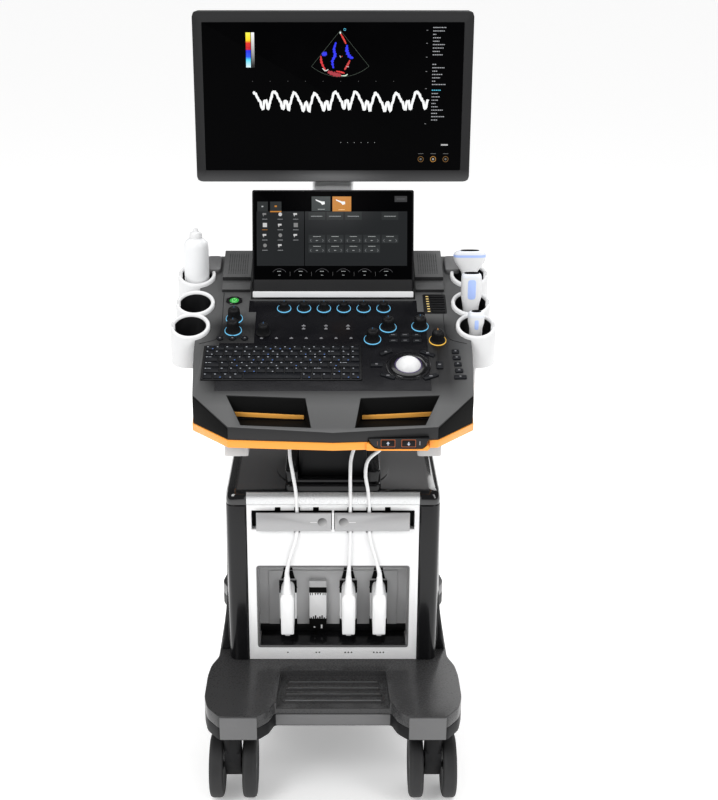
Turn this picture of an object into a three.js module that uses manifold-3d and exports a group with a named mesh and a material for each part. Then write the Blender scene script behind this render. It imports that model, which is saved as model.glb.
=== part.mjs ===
// Cart-mounted ultrasound machine, in millimetres, +Z up, the operator's side facing -Y.
// The origin is on the floor, under the middle of the machine.
import * as THREE from 'three';
import { mergeVertices } from 'three/addons/utils/BufferGeometryUtils.js';
import Module from 'manifold-3d';

const wasm = await Module();
wasm.setup();

// Driving dimensions.
const GAP = 0.3; // between pieces that touch
const BASE_HALF = 247;
const BASE_FRONT = -295;
const BASE_REAR = 345;
const BASE_BOTTOM = 164;
const BASE_SPLIT = 190;
const BASE_TOP = 216;
const TREAD_FRONT = -245;
const TREAD_BACK = -130;
const WHEEL_R = 62.5;
const WHEEL_W = 27;
const WHEEL_X = 32; // from the castor's middle to a wheel's middle
const CASTOR_X = 193;
const CASTOR_TRAIL = 22;
const CASTOR_Y = { front: -247, rear: 269 };
const CABINET_HALF = 210;
const CABINET_FRONT = -88;
const CABINET_REAR = 295;
const CABINET_TOP = 585;
const PANEL_HALF = 167.5;
const BAY = { half: 149, low: 246, high: 424, back: -24 };
const SLOT = { half: 158, low: 504.5, high: 544.5 };
const PLUG_X = [-90.7, 30.9, 91.7];
const EMPTY_SOCKET_X = -30.5;
const COLUMN_Y = 8;
const HEAD_TOP = 735;
const DECK_Y = -345; // the deck's front edge
const DECK_Z = 811.7;
const DECK_SLOPE = 20; // degrees
const TRAY_BOTTOM = 745;
const TRIM_LOW = 777;
const TRIM_HIGH = 791;
const CUPS = [
  { x: 264, along: 286 },
  { x: 260, along: 358 },
  { x: 264, along: 452 },
];
const CUP_R = 37;
const CUP_BORE = 29.5;
const CUP_DEPTH = 68;
const CUP_RIM = 6; // above the deck
const TOUCH = { width: 304, height: 201, thick: 14, lean: 15, y: 12, z: 944 };
const TOUCH_HINGE = { y: 36, z: 954 };
const MONITOR = { width: 518, height: 313.5, low: 1149, front: 95, thick: 18 };
const MONITOR_HINGE = { y: 158, z: 1305 };
const NECK_Y = 172;
const CABLE_D = 7;
const COIL = { r: 38.5, half: 7.5, y: [102, 125, 148], z: 688.5 };

const rad = THREE.MathUtils.degToRad;
const onDeck = (along, above = 0) => ({
  y: DECK_Y + along * Math.cos(rad(DECK_SLOPE)) - above * Math.sin(rad(DECK_SLOPE)),
  z: DECK_Z + along * Math.sin(rad(DECK_SLOPE)) + above * Math.cos(rad(DECK_SLOPE)),
});

const look = (color, roughness, metalness = 0) =>
  new THREE.MeshStandardMaterial({ color, roughness, metalness });
const LOOKS = {
  darkGrey: look(0x4a4b4d, 0.5),
  midGrey: look(0xa8a9ab, 0.45),
  black: look(0x101011, 0.25),
  rubber: look(0x151515, 0.7),
  steel: look(0x8d9093, 0.4, 0.8),
  silver: look(0xdfe1e3, 0.35, 0.4),
  white: look(0xf2f3f4, 0.35),
  orange: look(0xf29a2e, 0.4),
  glass: look(0x050506, 0.08),
  green: look(0x2fae3d, 0.3),
  cable: look(0xe4e5e6, 0.5),
};

// --- solids -------------------------------------------------------------

function solid(geometry) {
  const bare = geometry.clone();
  bare.deleteAttribute('normal');
  bare.deleteAttribute('uv');
  const merged = mergeVertices(bare, 1e-3);
  return new wasm.Manifold(
    new wasm.Mesh({
      numProp: 3,
      vertProperties: new Float32Array(merged.attributes.position.array),
      triVerts: new Uint32Array(merged.index.array),
    }),
  );
}

function geometryOf(body) {
  const mesh = body.getMesh();
  const geometry = new THREE.BufferGeometry();
  geometry.setAttribute('position', new THREE.BufferAttribute(new Float32Array(mesh.vertProperties), 3));
  geometry.setIndex(new THREE.BufferAttribute(new Uint32Array(mesh.triVerts), 1));
  geometry.computeVertexNormals();
  return geometry;
}

const hull = (...parts) => wasm.Manifold.hull(parts);
const join = (first, ...others) => others.reduce((a, b) => a.add(b), first);
const cut = (first, ...others) => others.reduce((a, b) => a.subtract(b), first);

function boxGeometry([x0, y0, z0], [x1, y1, z1]) {
  const geometry = new THREE.BoxGeometry(x1 - x0, y1 - y0, z1 - z0);
  return geometry.translate((x0 + x1) / 2, (y0 + y1) / 2, (z0 + z1) / 2);
}

const box = (low, high) => solid(boxGeometry(low, high));

// A box in the deck's own directions: across, along the slope and above it.
function deckBox([x0, a0, n0], [x1, a1, n1]) {
  const geometry = boxGeometry([x0, a0, n0], [x1, a1, n1]);
  return solid(toDeck(geometry));
}

function toDeck(geometry) {
  return geometry.rotateX(rad(DECK_SLOPE)).translate(0, DECK_Y, DECK_Z);
}

// An outline of [a, b, radius] points; a corner with a radius is rounded.
function outline(points) {
  const shape = new THREE.Shape();
  points.forEach(([a, b, radius = 0], i) => {
    const [pa, pb] = points[(i + points.length - 1) % points.length];
    const [na, nb] = points[(i + 1) % points.length];
    const before = Math.hypot(a - pa, b - pb);
    const after = Math.hypot(na - a, nb - b);
    const start = [a + ((pa - a) * radius) / before, b + ((pb - b) * radius) / before];
    if (i === 0) shape.moveTo(...start);
    else shape.lineTo(...start);
    if (radius > 0) {
      shape.quadraticCurveTo(a, b, a + ((na - a) * radius) / after, b + ((nb - b) * radius) / after);
    }
  });
  shape.closePath();
  return shape;
}

// An outline carried along one axis: (x, y) along z, (y, z) along x, or (x, z) along y.
function prismGeometry(points, axis, from, to, curveSegments = 3) {
  const given = axis === 'y' ? points.map(([a, b, r]) => [b, a, r]) : points;
  const geometry = new THREE.ExtrudeGeometry(outline(given), {
    depth: to - from,
    bevelEnabled: false,
    curveSegments,
  });
  geometry.translate(0, 0, from);
  const turn = new THREE.Matrix4();
  if (axis === 'x') turn.set(0, 0, 1, 0, 1, 0, 0, 0, 0, 1, 0, 0, 0, 0, 0, 1);
  if (axis === 'y') turn.set(0, 1, 0, 0, 0, 0, 1, 0, 1, 0, 0, 0, 0, 0, 0, 1);
  geometry.applyMatrix4(turn);
  return geometry;
}

const prism = (...given) => solid(prismGeometry(...given));

// A profile of [radius, height] points turned about Z.
function latheGeometry(profile, segments = 24) {
  const points = profile.map(([r, z]) => new THREE.Vector2(r, z));
  return new THREE.LatheGeometry(points, segments).rotateX(Math.PI / 2);
}

const lathe = (profile, segments) => solid(latheGeometry(profile, segments));

function rod(r, from, to, axis = 'z', at = [0, 0, 0], segments = 16) {
  const geometry = latheGeometry([[0, from], [r, from], [r, to], [0, to]], segments);
  if (axis === 'x') geometry.rotateY(Math.PI / 2);
  if (axis === 'y') geometry.rotateX(-Math.PI / 2);
  return solid(geometry.translate(...at));
}

function deckRod(r, x, along, n0, n1, segments = 16) {
  const geometry = latheGeometry([[0, n0], [r, n0], [r, n1], [0, n1]], segments);
  return solid(toDeck(geometry.translate(x, along, 0)));
}

// A right-hand half outline, front to back, completed by its mirror image.
const mirrored = (half) => [
  ...half,
  ...half.slice().reverse().filter(([x]) => x > 0).map(([x, y, r]) => [-x, y, r]),
];

// A convex outline whose edges are moved in by a distance.
function inset(points, distance) {
  const edges = points.map(([x, y], i) => {
    const [nx, ny] = points[(i + 1) % points.length];
    const length = Math.hypot(nx - x, ny - y);
    const normal = [-(ny - y) / length, (nx - x) / length];
    return { normal, offset: normal[0] * x + normal[1] * y + distance };
  });
  return points.map((_, i) => {
    const a = edges[(i + edges.length - 1) % edges.length];
    const b = edges[i];
    const det = a.normal[0] * b.normal[1] - a.normal[1] * b.normal[0];
    return [
      (a.offset * b.normal[1] - b.offset * a.normal[1]) / det,
      (a.normal[0] * b.offset - b.normal[0] * a.offset) / det,
    ];
  });
}

const machine = new THREE.Group();

function add(name, body, material, parent = machine) {
  const mesh = new THREE.Mesh(body.isBufferGeometry ? body : geometryOf(body), material);
  mesh.name = name;
  parent.add(mesh);
  return mesh;
}

// --- base and castors ---------------------------------------------------

function basePlan(shrink) {
  return mirrored([
    [0, TREAD_FRONT + shrink],
    [112 + shrink, TREAD_FRONT + shrink, 6],
    [122 + shrink, BASE_FRONT + 22, 6],
    [142 + shrink, BASE_FRONT + shrink, 8],
    [214 - shrink, BASE_FRONT + shrink, 8],
    [BASE_HALF - 8 - shrink, -262, 8],
    [BASE_HALF - shrink, -225, 8],
    [BASE_HALF - shrink, -150, 8],
    [243 - shrink, -112, 8],
    [230 - shrink, -76, 8],
    [230 - shrink, 210, 8],
    [BASE_HALF - shrink, 250, 8],
    [BASE_HALF - 12 - shrink, 320, 8],
    [200 - shrink, BASE_REAR - shrink, 8],
    [0, BASE_REAR - shrink],
  ]);
}

function castorPlaces() {
  return ['front', 'rear'].flatMap((end) =>
    [['left', -1], ['right', 1]].map(([side, sign]) => ({
      name: `${end}_${side}`,
      x: sign * CASTOR_X,
      y: CASTOR_Y[end],
    })),
  );
}

function buildBase() {
  const wall = 4;
  let frame = prism(basePlan(0), 'z', BASE_BOTTOM, BASE_SPLIT - GAP, 2);
  frame = cut(frame, prism(basePlan(wall), 'z', BASE_BOTTOM + wall, BASE_SPLIT, 1));
  for (const { x, y } of castorPlaces()) {
    frame = join(frame, rod(20, BASE_BOTTOM + 1, BASE_SPLIT - 2, 'z', [x, y, 0], 12));
    frame = cut(frame, rod(8.8, BASE_BOTTOM - 1, BASE_SPLIT - 6, 'z', [x, y, 0], 12));
  }
  add('base_frame', frame, LOOKS.steel);

  let cover = prism(basePlan(0), 'z', BASE_SPLIT, BASE_TOP, 2);
  const tread = [
    [-104, TREAD_BACK, 6], [-111, TREAD_FRONT - 60], [111, TREAD_FRONT - 60], [104, TREAD_BACK, 6],
  ];
  const treadFloor = BASE_TOP - 14;
  const hollow = cut(
    prism(basePlan(6), 'z', BASE_SPLIT - 1, BASE_TOP - 5, 1),
    box([-130, TREAD_FRONT - 10, BASE_SPLIT - 2], [130, TREAD_BACK + 8, BASE_TOP]),
  );
  cover = cut(cover, hollow, prism(tread, 'z', treadFloor, BASE_TOP + 1, 2));
  for (let i = 0; i < 4; i += 1) {
    const y = TREAD_BACK - 26 - i * 22;
    cover = join(cover, box([-90 - i * 2, y - 3, treadFloor - 1], [90 + i * 2, y + 3, treadFloor + 3]));
  }
  add('base_cover', cover, LOOKS.black);
}

function castorFork() {
  const stem = lathe(
    [[0, 96], [17.5, 96], [17.5, BASE_BOTTOM - GAP], [8, BASE_BOTTOM - GAP], [8, BASE_SPLIT - 8], [0, BASE_SPLIT - 8]],
    12,
  );
  const cheek = [
    [-15, 116, 4], [-17, 92], [2, 50, 6], [CASTOR_TRAIL + 12, 46, 8],
    [CASTOR_TRAIL + 18, WHEEL_R + 2, 8], [CASTOR_TRAIL + 10, 100, 8], [15, 118, 4],
  ];
  const axleHole = rod(6.6, -30, 30, 'x', [0, CASTOR_TRAIL, WHEEL_R], 12);
  return cut(join(stem, prism(cheek, 'x', -15.5, 15.5, 1)), axleHole);
}

function castorWheels() {
  const half = WHEEL_W / 2;
  const tyre = [
    [0, -half], [WHEEL_R - 6, -half], [WHEEL_R, -half + 5], [WHEEL_R, half - 5], [WHEEL_R - 6, half], [0, half],
  ];
  const wheelAt = (x) => solid(latheGeometry(tyre, 24).rotateY(Math.PI / 2).translate(x, 0, 0));
  return join(wheelAt(-WHEEL_X), wheelAt(WHEEL_X), rod(6, -WHEEL_X, WHEEL_X, 'x', [0, 0, 0], 12));
}

function buildCastors() {
  for (const { name, x, y } of castorPlaces()) {
    const castor = new THREE.Group();
    castor.position.set(x, y, 0);
    machine.add(castor);
    add(`castor_fork_${name}`, castorFork(), LOOKS.black, castor);
    const wheels = add(`castor_wheels_${name}`, castorWheels(), LOOKS.rubber, castor);
    wheels.position.set(0, CASTOR_TRAIL, WHEEL_R);
  }
}

// --- cabinet ------------------------------------------------------------

function buildCabinetFrame() {
  const low = BASE_TOP + GAP;
  let frame = box([-158, -18, low], [158, 262, 548]);
  frame = cut(frame, box([-155, -15, low + 3], [155, 268, 549]));
  const boards = [-100, -55, 55, 100].map((x) => box([x - 2, 90, low + 2], [x + 2, 258, 470]));
  const supply = cut(box([-40, 130, low + 2], [40, 258, 330]), box([-37, 133, low + 4], [37, 260, 327]));
  add('cabinet_frame', join(frame, ...boards, supply), LOOKS.steel);
}

// One glossy side: a rounded front pillar, a flat side and a skirt that flares onto the base.
function sideCover(sign) {
  const inner = PANEL_HALF + GAP;
  const plan = [
    [inner, CABINET_FRONT + 3], [inner + 3, CABINET_FRONT - 3, 3], [CABINET_HALF - 6, CABINET_FRONT - 3, 14],
    [CABINET_HALF, CABINET_FRONT + 26, 14], [CABINET_HALF, CABINET_REAR - 14, 8],
    [CABINET_HALF - 14, CABINET_REAR, 8], [CABINET_HALF - 30, CABINET_REAR], [CABINET_HALF - 30, CABINET_REAR - 5],
    [CABINET_HALF - 6, CABINET_REAR - 18], [CABINET_HALF - 6, CABINET_FRONT + 50], [inner, CABINET_FRONT + 44],
  ];
  const flare = [
    [CABINET_HALF - 5, BASE_TOP + GAP], [CABINET_HALF + 18, BASE_TOP + GAP], [CABINET_HALF + 14, BASE_TOP + 30],
    [CABINET_HALF + 6, BASE_TOP + 90], [CABINET_HALF, BASE_TOP + 160], [CABINET_HALF - 5, BASE_TOP + 160],
  ];
  const body = join(
    prism(plan, 'z', BASE_TOP + GAP, CABINET_TOP - 28 - GAP, 3),
    prism(flare, 'y', CABINET_FRONT + 40, CABINET_REAR - 30, 2),
  );
  return sign > 0 ? body : body.mirror([1, 0, 0]);
}

function buildCabinetCovers() {
  add('left_side_cover', sideCover(-1), LOOKS.black);
  add('right_side_cover', sideCover(1), LOOKS.black);

  const rearHalf = CABINET_HALF - 30 - GAP;
  let rear = box([-rearHalf, CABINET_REAR - 4, BASE_TOP + GAP], [rearHalf, CABINET_REAR, CABINET_TOP - 28 - GAP]);
  for (let i = 0; i < 6; i += 1) {
    const z = 420 + i * 16;
    rear = cut(rear, box([-110, CABINET_REAR - 6, z], [110, CABINET_REAR + 1, z + 7]));
  }
  const inlet = cut(
    box([-160, CABINET_REAR - 30, 250], [-110, CABINET_REAR - 1, 290]),
    box([-153, CABINET_REAR - 24, 256], [-117, CABINET_REAR + 2, 284]),
  );
  rear = join(cut(rear, box([-153, CABINET_REAR - 6, 256], [-117, CABINET_REAR + 2, 284])), inlet);
  add('rear_cover', rear, LOOKS.darkGrey);

  const plan = mirrored([
    [0, CABINET_FRONT], [PANEL_HALF, CABINET_FRONT], [CABINET_HALF - 6, CABINET_FRONT - 3, 14],
    [CABINET_HALF, CABINET_FRONT + 26, 14], [CABINET_HALF, CABINET_REAR - 14, 8],
    [CABINET_HALF - 14, CABINET_REAR, 8], [0, CABINET_REAR],
  ]);
  const shrunk = (by) => plan.map(([x, y, r]) => [x * (1 - by / CABINET_HALF), y + (y < 0 ? by : -by), r]);
  let top = hull(
    prism(plan, 'z', CABINET_TOP - 28, CABINET_TOP - 18, 3),
    prism(shrunk(3), 'z', CABINET_TOP - 28, CABINET_TOP - 8, 3),
    prism(shrunk(8), 'z', CABINET_TOP - 28, CABINET_TOP - 2.5, 3),
    prism(shrunk(15), 'z', CABINET_TOP - 28, CABINET_TOP, 3),
  );
  const panelFront = box([-PANEL_HALF, -200, CABINET_TOP - 30], [PANEL_HALF, CABINET_FRONT, CABINET_TOP + 1]);
  const collar = rod(112, CABINET_TOP - 1, CABINET_TOP + 4, 'z', [0, COLUMN_Y + 16, 0], 40);
  top = join(top, cut(collar, box([-200, -200, CABINET_TOP - 2], [200, CABINET_FRONT + 10, CABINET_TOP + 9])));
  const inside = box(
    [-CABINET_HALF + 16, CABINET_FRONT + 12, CABINET_TOP - 29],
    [CABINET_HALF - 16, CABINET_REAR - 12, CABINET_TOP - 12],
  );
  top = cut(top, panelFront, inside, box([-47, -3, CABINET_TOP - 40], [47, 73, CABINET_TOP + 9]));
  add('top_cover', top, LOOKS.darkGrey);
}

function buildFrontPanel() {
  const front = CABINET_FRONT;
  const top = CABINET_TOP - 28 - GAP;
  let panel = box([-PANEL_HALF, front, BASE_TOP + GAP], [PANEL_HALF, front + 3, top]);
  const pocketBack = front + 20;
  panel = join(panel, box([-SLOT.half - 4, front + 1, SLOT.low - 12], [SLOT.half + 4, pocketBack, SLOT.high + 11]));
  panel = cut(
    panel,
    box([-SLOT.half, front - 1, SLOT.low], [-1.5, pocketBack - 3, SLOT.high]),
    box([1.5, front - 1, SLOT.low], [SLOT.half, pocketBack - 3, SLOT.high]),
    box([-BAY.half, front - 1, BAY.low], [BAY.half, front + 4, BAY.high]),
  );
  for (const x of [-107, -69.5, -33, 33.4, 70.1, 106]) {
    const notch = box([x - 5.5, front - 1, SLOT.low - 7], [x + 5.5, pocketBack - 3, SLOT.high + 7]);
    panel = cut(panel, notch);
  }
  add('front_panel', panel, LOOKS.silver);

  let bay = box([-BAY.half - 3, front + 3 + GAP, BAY.low - 3], [BAY.half + 3, BAY.back + 3, BAY.high + 3]);
  bay = cut(bay, box([-BAY.half, front + 2, BAY.low], [BAY.half, BAY.back, BAY.high]));
  add('connector_bay', bay, LOOKS.darkGrey);
}

function buildSockets() {
  let board = box([-130, BAY.back - 2 - GAP, 262], [130, BAY.back - GAP, 384]);
  for (const x of [...PLUG_X, EMPTY_SOCKET_X]) {
    const shell = box([x - 17, BAY.back - 14, 266], [x + 17, BAY.back - 1, 366]);
    const mouth = box([x - 13, BAY.back - 20, 272], [x + 13, BAY.back - 4, 360]);
    board = join(board, cut(shell, mouth));
  }
  add('socket_board', board, LOOKS.steel);
}

function buildPlugs() {
  PLUG_X.forEach((x, i) => {
    const body = prism(
      [[-15.4, 265, 3], [15.4, 265, 3], [15.4, 358, 4], [10, 365, 4], [-10, 365, 4], [-15.4, 358, 4]],
      'y', CABINET_FRONT - 8, BAY.back - 14 - GAP, 2,
    );
    const nose = box([-11, BAY.back - 20, 276], [11, BAY.back - 6, 356]);
    const boot = lathe([[0, 360], [9, 360], [6.5, 376], [5, 400], [0, 400]], 12).translate([0, -85, 0]);
    const plug = add(`probe_plug_${i + 1}`, join(body, nose, boot), LOOKS.white);
    plug.position.x = x;
  });
}

function buildCableBars() {
  for (const [side, sign] of [['left', -1], ['right', 1]]) {
    const front = CABINET_FRONT - 10.8;
    const plate = box([3.2, front, SLOT.low + 1], [SLOT.half - 9.5, front + 4, SLOT.high - 1]);
    const ribs = [46, 118].map((x) => box([x, front + 3, 514], [x + 9, CABINET_FRONT + 12, 535]));
    const dimple = rod(8.4, -4, 2, 'y', [20.5, front, 524.5], 16);
    const bar = cut(join(plate, ...ribs), dimple);
    add(`cable_bar_${side}`, sign > 0 ? bar : bar.mirror([1, 0, 0]), LOOKS.midGrey);
  }
}

// --- lifting column -----------------------------------------------------

const RAM = { half: 40, front: 6, back: 64 };
const HEAD = { half: 66, front: -52, back: 68 };
const HOUSING = { half: 92, front: -76, back: 92 };

function buildColumn() {
  const floor = CABINET_TOP + 15;
  const seat = CABINET_TOP + 4 + GAP;
  let sleeve = join(
    prism(
      [[-HOUSING.half, HOUSING.front, 12], [HOUSING.half, HOUSING.front, 12], [HOUSING.half, HOUSING.back, 12],
        [-HOUSING.half, HOUSING.back, 12]],
      'z', seat, CABINET_TOP + 37, 3,
    ),
    box([-RAM.half - 6, RAM.front - 6, 310], [RAM.half + 6, RAM.back + 6, seat + 2]),
  );
  sleeve = cut(
    sleeve,
    box([-HEAD.half - 1.5, HEAD.front - 1.5, floor], [HEAD.half + 1.5, HEAD.back + 1.5, CABINET_TOP + 60]),
    box([-HEAD.half - 1.5, HOUSING.front - 1, CABINET_TOP + 20], [HEAD.half + 1.5, HEAD.front, CABINET_TOP + 60]),
    box([-RAM.half - 1, RAM.front - 1, 300], [RAM.half + 1, RAM.back + 1, floor + 1]),
  );
  add('column_sleeve', sleeve, LOOKS.black);

  let column = join(
    prism(
      [[-HEAD.half, HEAD.front, 8], [HEAD.half, HEAD.front, 8], [HEAD.half, HEAD.back, 8], [-HEAD.half, HEAD.back, 8]],
      'z', floor + 0.5, HEAD_TOP, 3,
    ),
    box([-RAM.half, RAM.front, 330], [RAM.half, RAM.back, floor + 2]),
  );
  column = cut(
    column,
    box([-RAM.half + 5, RAM.front + 5, 329], [RAM.half - 5, RAM.back - 5, HEAD_TOP - 12]),
    box([-HEAD.half + 6, HEAD.front + 6, floor + 8], [-RAM.half, HEAD.back - 6, HEAD_TOP - 12]),
    box([RAM.half, HEAD.front + 6, floor + 8], [HEAD.half - 6, HEAD.back - 6, HEAD_TOP - 12]),
    box([-RAM.half - 1, HEAD.front + 6, floor + 8], [RAM.half + 1, RAM.front, HEAD_TOP - 12]),
    box([-20, -20, floor - 5], [20, -10, floor + 10]),
  );
  const turntable = rod(58, HEAD_TOP - 1, HEAD_TOP + 6, 'z', [0, COLUMN_Y, 0], 24);
  const spigot = rod(20, HEAD_TOP + 5, HEAD_TOP + 24, 'z', [0, COLUMN_Y, 0], 20);
  add('lift_column', join(column, turntable, spigot), LOOKS.black);
}

// --- console ------------------------------------------------------------

const CONSOLE_PLAN = mirrored([[0, -352], [178, -338], [245, -258], [252, -150], [256, 145]]);
const KEYBOARD = { x0: -234, x1: 51, a0: 132, a1: 231.5 };
const TRACKBALL = { x: 134.6, along: 173.3, r: 25, drop: 8 };
const POD = { x0: 59, x1: 163, z0: 776, z1: 798, y: -350 };
const LIFT_BUTTON_X = [93, 128];
const SOFT_KNOB_X = [0, 1, 2, 3, 4, 5].map((i) => -92 + i * 37.4);
const KNOBS = [
  ...SOFT_KNOB_X.map((x, i) => ({ name: `soft_knob_${i + 1}`, x, along: 346, r: 9.5, height: 15 })),
  { name: 'left_knob_rear', x: -184, along: 314, r: 12, height: 24 },
  { name: 'left_knob_front', x: -184, along: 277, r: 12, height: 24 },
  { name: 'mode_knob', x: -128, along: 270, r: 11, height: 20 },
  { name: 'gain_knob_inner', x: 101.7, along: 287, r: 12, height: 22 },
  { name: 'gain_knob_low', x: 72.2, along: 250.5, r: 12, height: 22 },
  { name: 'gain_knob_outer', x: 161, along: 290, r: 12, height: 22 },
  { name: 'freeze_knob', x: 191.1, along: 247.5, r: 12, height: 22 },
];
const POWER = { x: -187.2, along: 371, r: 9 };

const cupPlace = ({ x, along }) => ({ x, ...onDeck(along) });

function buildTray() {
  const keel = (by, rear) => inset(CONSOLE_PLAN, by).map(([x, y]) => [x, y > 0 ? rear : y]);
  const dish = (wide, narrow, rear, low, high) => hull(
    prism(inset(CONSOLE_PLAN, wide), 'z', high - 3, high),
    prism(keel(narrow, rear), 'z', low, low + 1),
  );
  const outside = dish(14, 80, 131, TRAY_BOTTOM, TRIM_LOW - GAP);
  const tray = cut(outside, dish(18, 84, 127, TRAY_BOTTOM + 4, TRIM_LOW + 1));
  const hub = rod(64, HEAD_TOP + 6 + GAP, TRAY_BOTTOM + 10, 'z', [0, COLUMN_Y, 0], 24);
  const boss = rod(30, TRAY_BOTTOM, TRAY_BOTTOM + 24, 'z', [0, COLUMN_Y, 0], 20);
  const bore = rod(20.8, HEAD_TOP, HEAD_TOP + 27, 'z', [0, COLUMN_Y, 0], 20);
  const pegZ = COIL.z + COIL.r - COIL.half - 4 - GAP;
  const bracket = box([-5, 82, pegZ - 4], [5, 90, TRAY_BOTTOM + 2]);
  const peg = rod(4, 84, 162, 'y', [0, 0, pegZ], 12);
  const stop = rod(7, 161, 165, 'y', [0, 0, pegZ], 12);
  const hooks = [-1, 1].map((sign) => join(
    box([sign * 168 - 20, -292, TRAY_BOTTOM - 1], [sign * 168 + 20, -205, TRAY_BOTTOM + 4]),
    box([sign * 168 - 20, -292, TRAY_BOTTOM - 1], [sign * 168 + 20, -284, TRAY_BOTTOM + 18]),
  ));
  add('console_tray', join(cut(join(tray, hub, boss), bore), bracket, peg, stop, ...hooks), LOOKS.darkGrey);
}

function buildTrim() {
  const podNotch = box([POD.x0 - GAP, -400, POD.z0 - 3], [POD.x1 + GAP, -334, POD.z1 + GAP]);
  const band = cut(
    prism(inset(CONSOLE_PLAN, -1.5), 'z', TRIM_LOW, TRIM_HIGH),
    prism(inset(CONSOLE_PLAN, 12), 'z', TRIM_LOW - 1, TRIM_HIGH + 1),
  );
  add('orange_trim', cut(band, podNotch), LOOKS.orange);

  let pod = prism(
    [[POD.x0 + 12, POD.z0], [POD.x1 - 10, POD.z0], [POD.x1, POD.z1], [POD.x0, POD.z1]],
    'y', POD.y, -334 - GAP,
  );
  for (const x of LIFT_BUTTON_X) {
    pod = cut(pod, box([x - 11.4, POD.y - 1, 783.6], [x + 11.4, POD.y + 9, 795.4]));
  }
  add('switch_pod', pod, LOOKS.black);
  LIFT_BUTTON_X.forEach((x, i) => {
    const button = box([x - 11, POD.y - 2, 784], [x + 11, POD.y + 6, 795]);
    add(['lift_up_button', 'lift_down_button'][i], button, LOOKS.black);
  });
}

// The hand-holds are wells that drop from the sloping front to a level floor.
function handHold(sign, grow) {
  const plan = [
    [37 - grow, -340 - grow], [157 + grow, -333.5 - grow], [186 + grow, -259 + grow], [48 - grow, -266 + grow],
  ];
  const well = prism(plan, 'z', TRIM_HIGH + 9 - grow, 900);
  return sign > 0 ? well : well.mirror([1, 0, 0]);
}

function buildCover() {
  const low = TRIM_HIGH + GAP;
  const under = deckBox([-300, -60, -400], [300, 560, 0]);
  let cover = prism(CONSOLE_PLAN, 'z', low, 1030).intersect(under);
  for (const sign of [-1, 1]) {
    const [x0, x1] = [sign * 158, sign * 212].sort((a, b) => a - b);
    cover = join(cover, deckBox([x0, 430, -1], [x1, 521, 14]), deckBox([x0, 400, -1], [x1, 431, 6]));
  }
  const pedestal = prism(
    [[-70, 100], [70, 100], [62, 208, 16], [-62, 208, 16]],
    'z', 860, 1000, 3,
  );
  cover = cut(join(cover, pedestal), rod(14.8, 984, 1010, 'z', [0, NECK_Y, 0], 16));

  const keep = [-1, 1].flatMap((sign) => [
    handHold(sign, 5),
    ...CUPS.map(({ x, along }) => {
      const at = onDeck(along);
      return rod(CUP_R + 5, at.z - CUP_DEPTH - 6, 1100, 'z', [sign * x, at.y, 0], 20);
    }),
  ]);
  const hollow = cut(
    prism(inset(CONSOLE_PLAN, 5), 'z', low - 1, 1030).intersect(deckBox([-300, -60, -400], [300, 505, -12])),
    ...keep,
  );
  cover = cut(cover, hollow, handHold(1, 0), handHold(-1, 0));
  for (const sign of [-1, 1]) {
    for (const { x, along } of CUPS) {
      const at = onDeck(along);
      cover = cut(cover, rod(CUP_R + 0.8, at.z - CUP_DEPTH - 1, 1100, 'z', [sign * x, at.y, 0], 20));
    }
  }

  const glassPocket = solid(toDeck(prismGeometry(glassPlan(GAP), 'z', -2.8, 5)));
  const { x0, x1, a0, a1 } = KEYBOARD;
  cover = cut(
    cover,
    glassPocket,
    deckBox([x0 - GAP, a0 - GAP, -8 - GAP], [x1 + GAP, a1 + GAP, 5]),
    deckBox([-156, 376, -11], [156, 440, 5]),
    deckRod(TRACKBALL.r + 0.9, TRACKBALL.x, TRACKBALL.along, -60, 5, 28),
    deckRod(POWER.r + 0.5, POWER.x, POWER.along, -8, 5, 20),
    box([POD.x0 - GAP, -400, low - 3], [POD.x1 + GAP, -334, POD.z1 + GAP]),
  );
  for (const { x, along } of KNOBS) cover = cut(cover, deckRod(3.5, x, along, -10, 5, 10));
  for (const sign of [-1, 1]) {
    const [x0b, x1b] = [sign * 124, sign * 134].sort((a, b) => a - b);
    const ear = box([x0b, TOUCH_HINGE.y - 3.5, 936], [x1b, TOUCH_HINGE.y + 12, TOUCH_HINGE.z + 3]);
    cover = join(cover, ear);
  }
  cover = cut(cover, rod(5.8, -140, 140, 'x', [0, TOUCH_HINGE.y, TOUCH_HINGE.z], 16));
  add('console_cover', cover, LOOKS.darkGrey);
}

function glassPlan(grow) {
  return [
    [-207 - grow, 104 - grow], [172 + grow, 104 - grow], [172 + grow, 336 + grow], [158 + grow, 336 + grow],
    [158 + grow, 372 + grow], [-158 - grow, 372 + grow], [-158 - grow, 336 - grow], [-144 - grow, 336 - grow],
    [-144 - grow, 240 + grow], [-207 - grow, 240 + grow],
  ];
}

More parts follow.
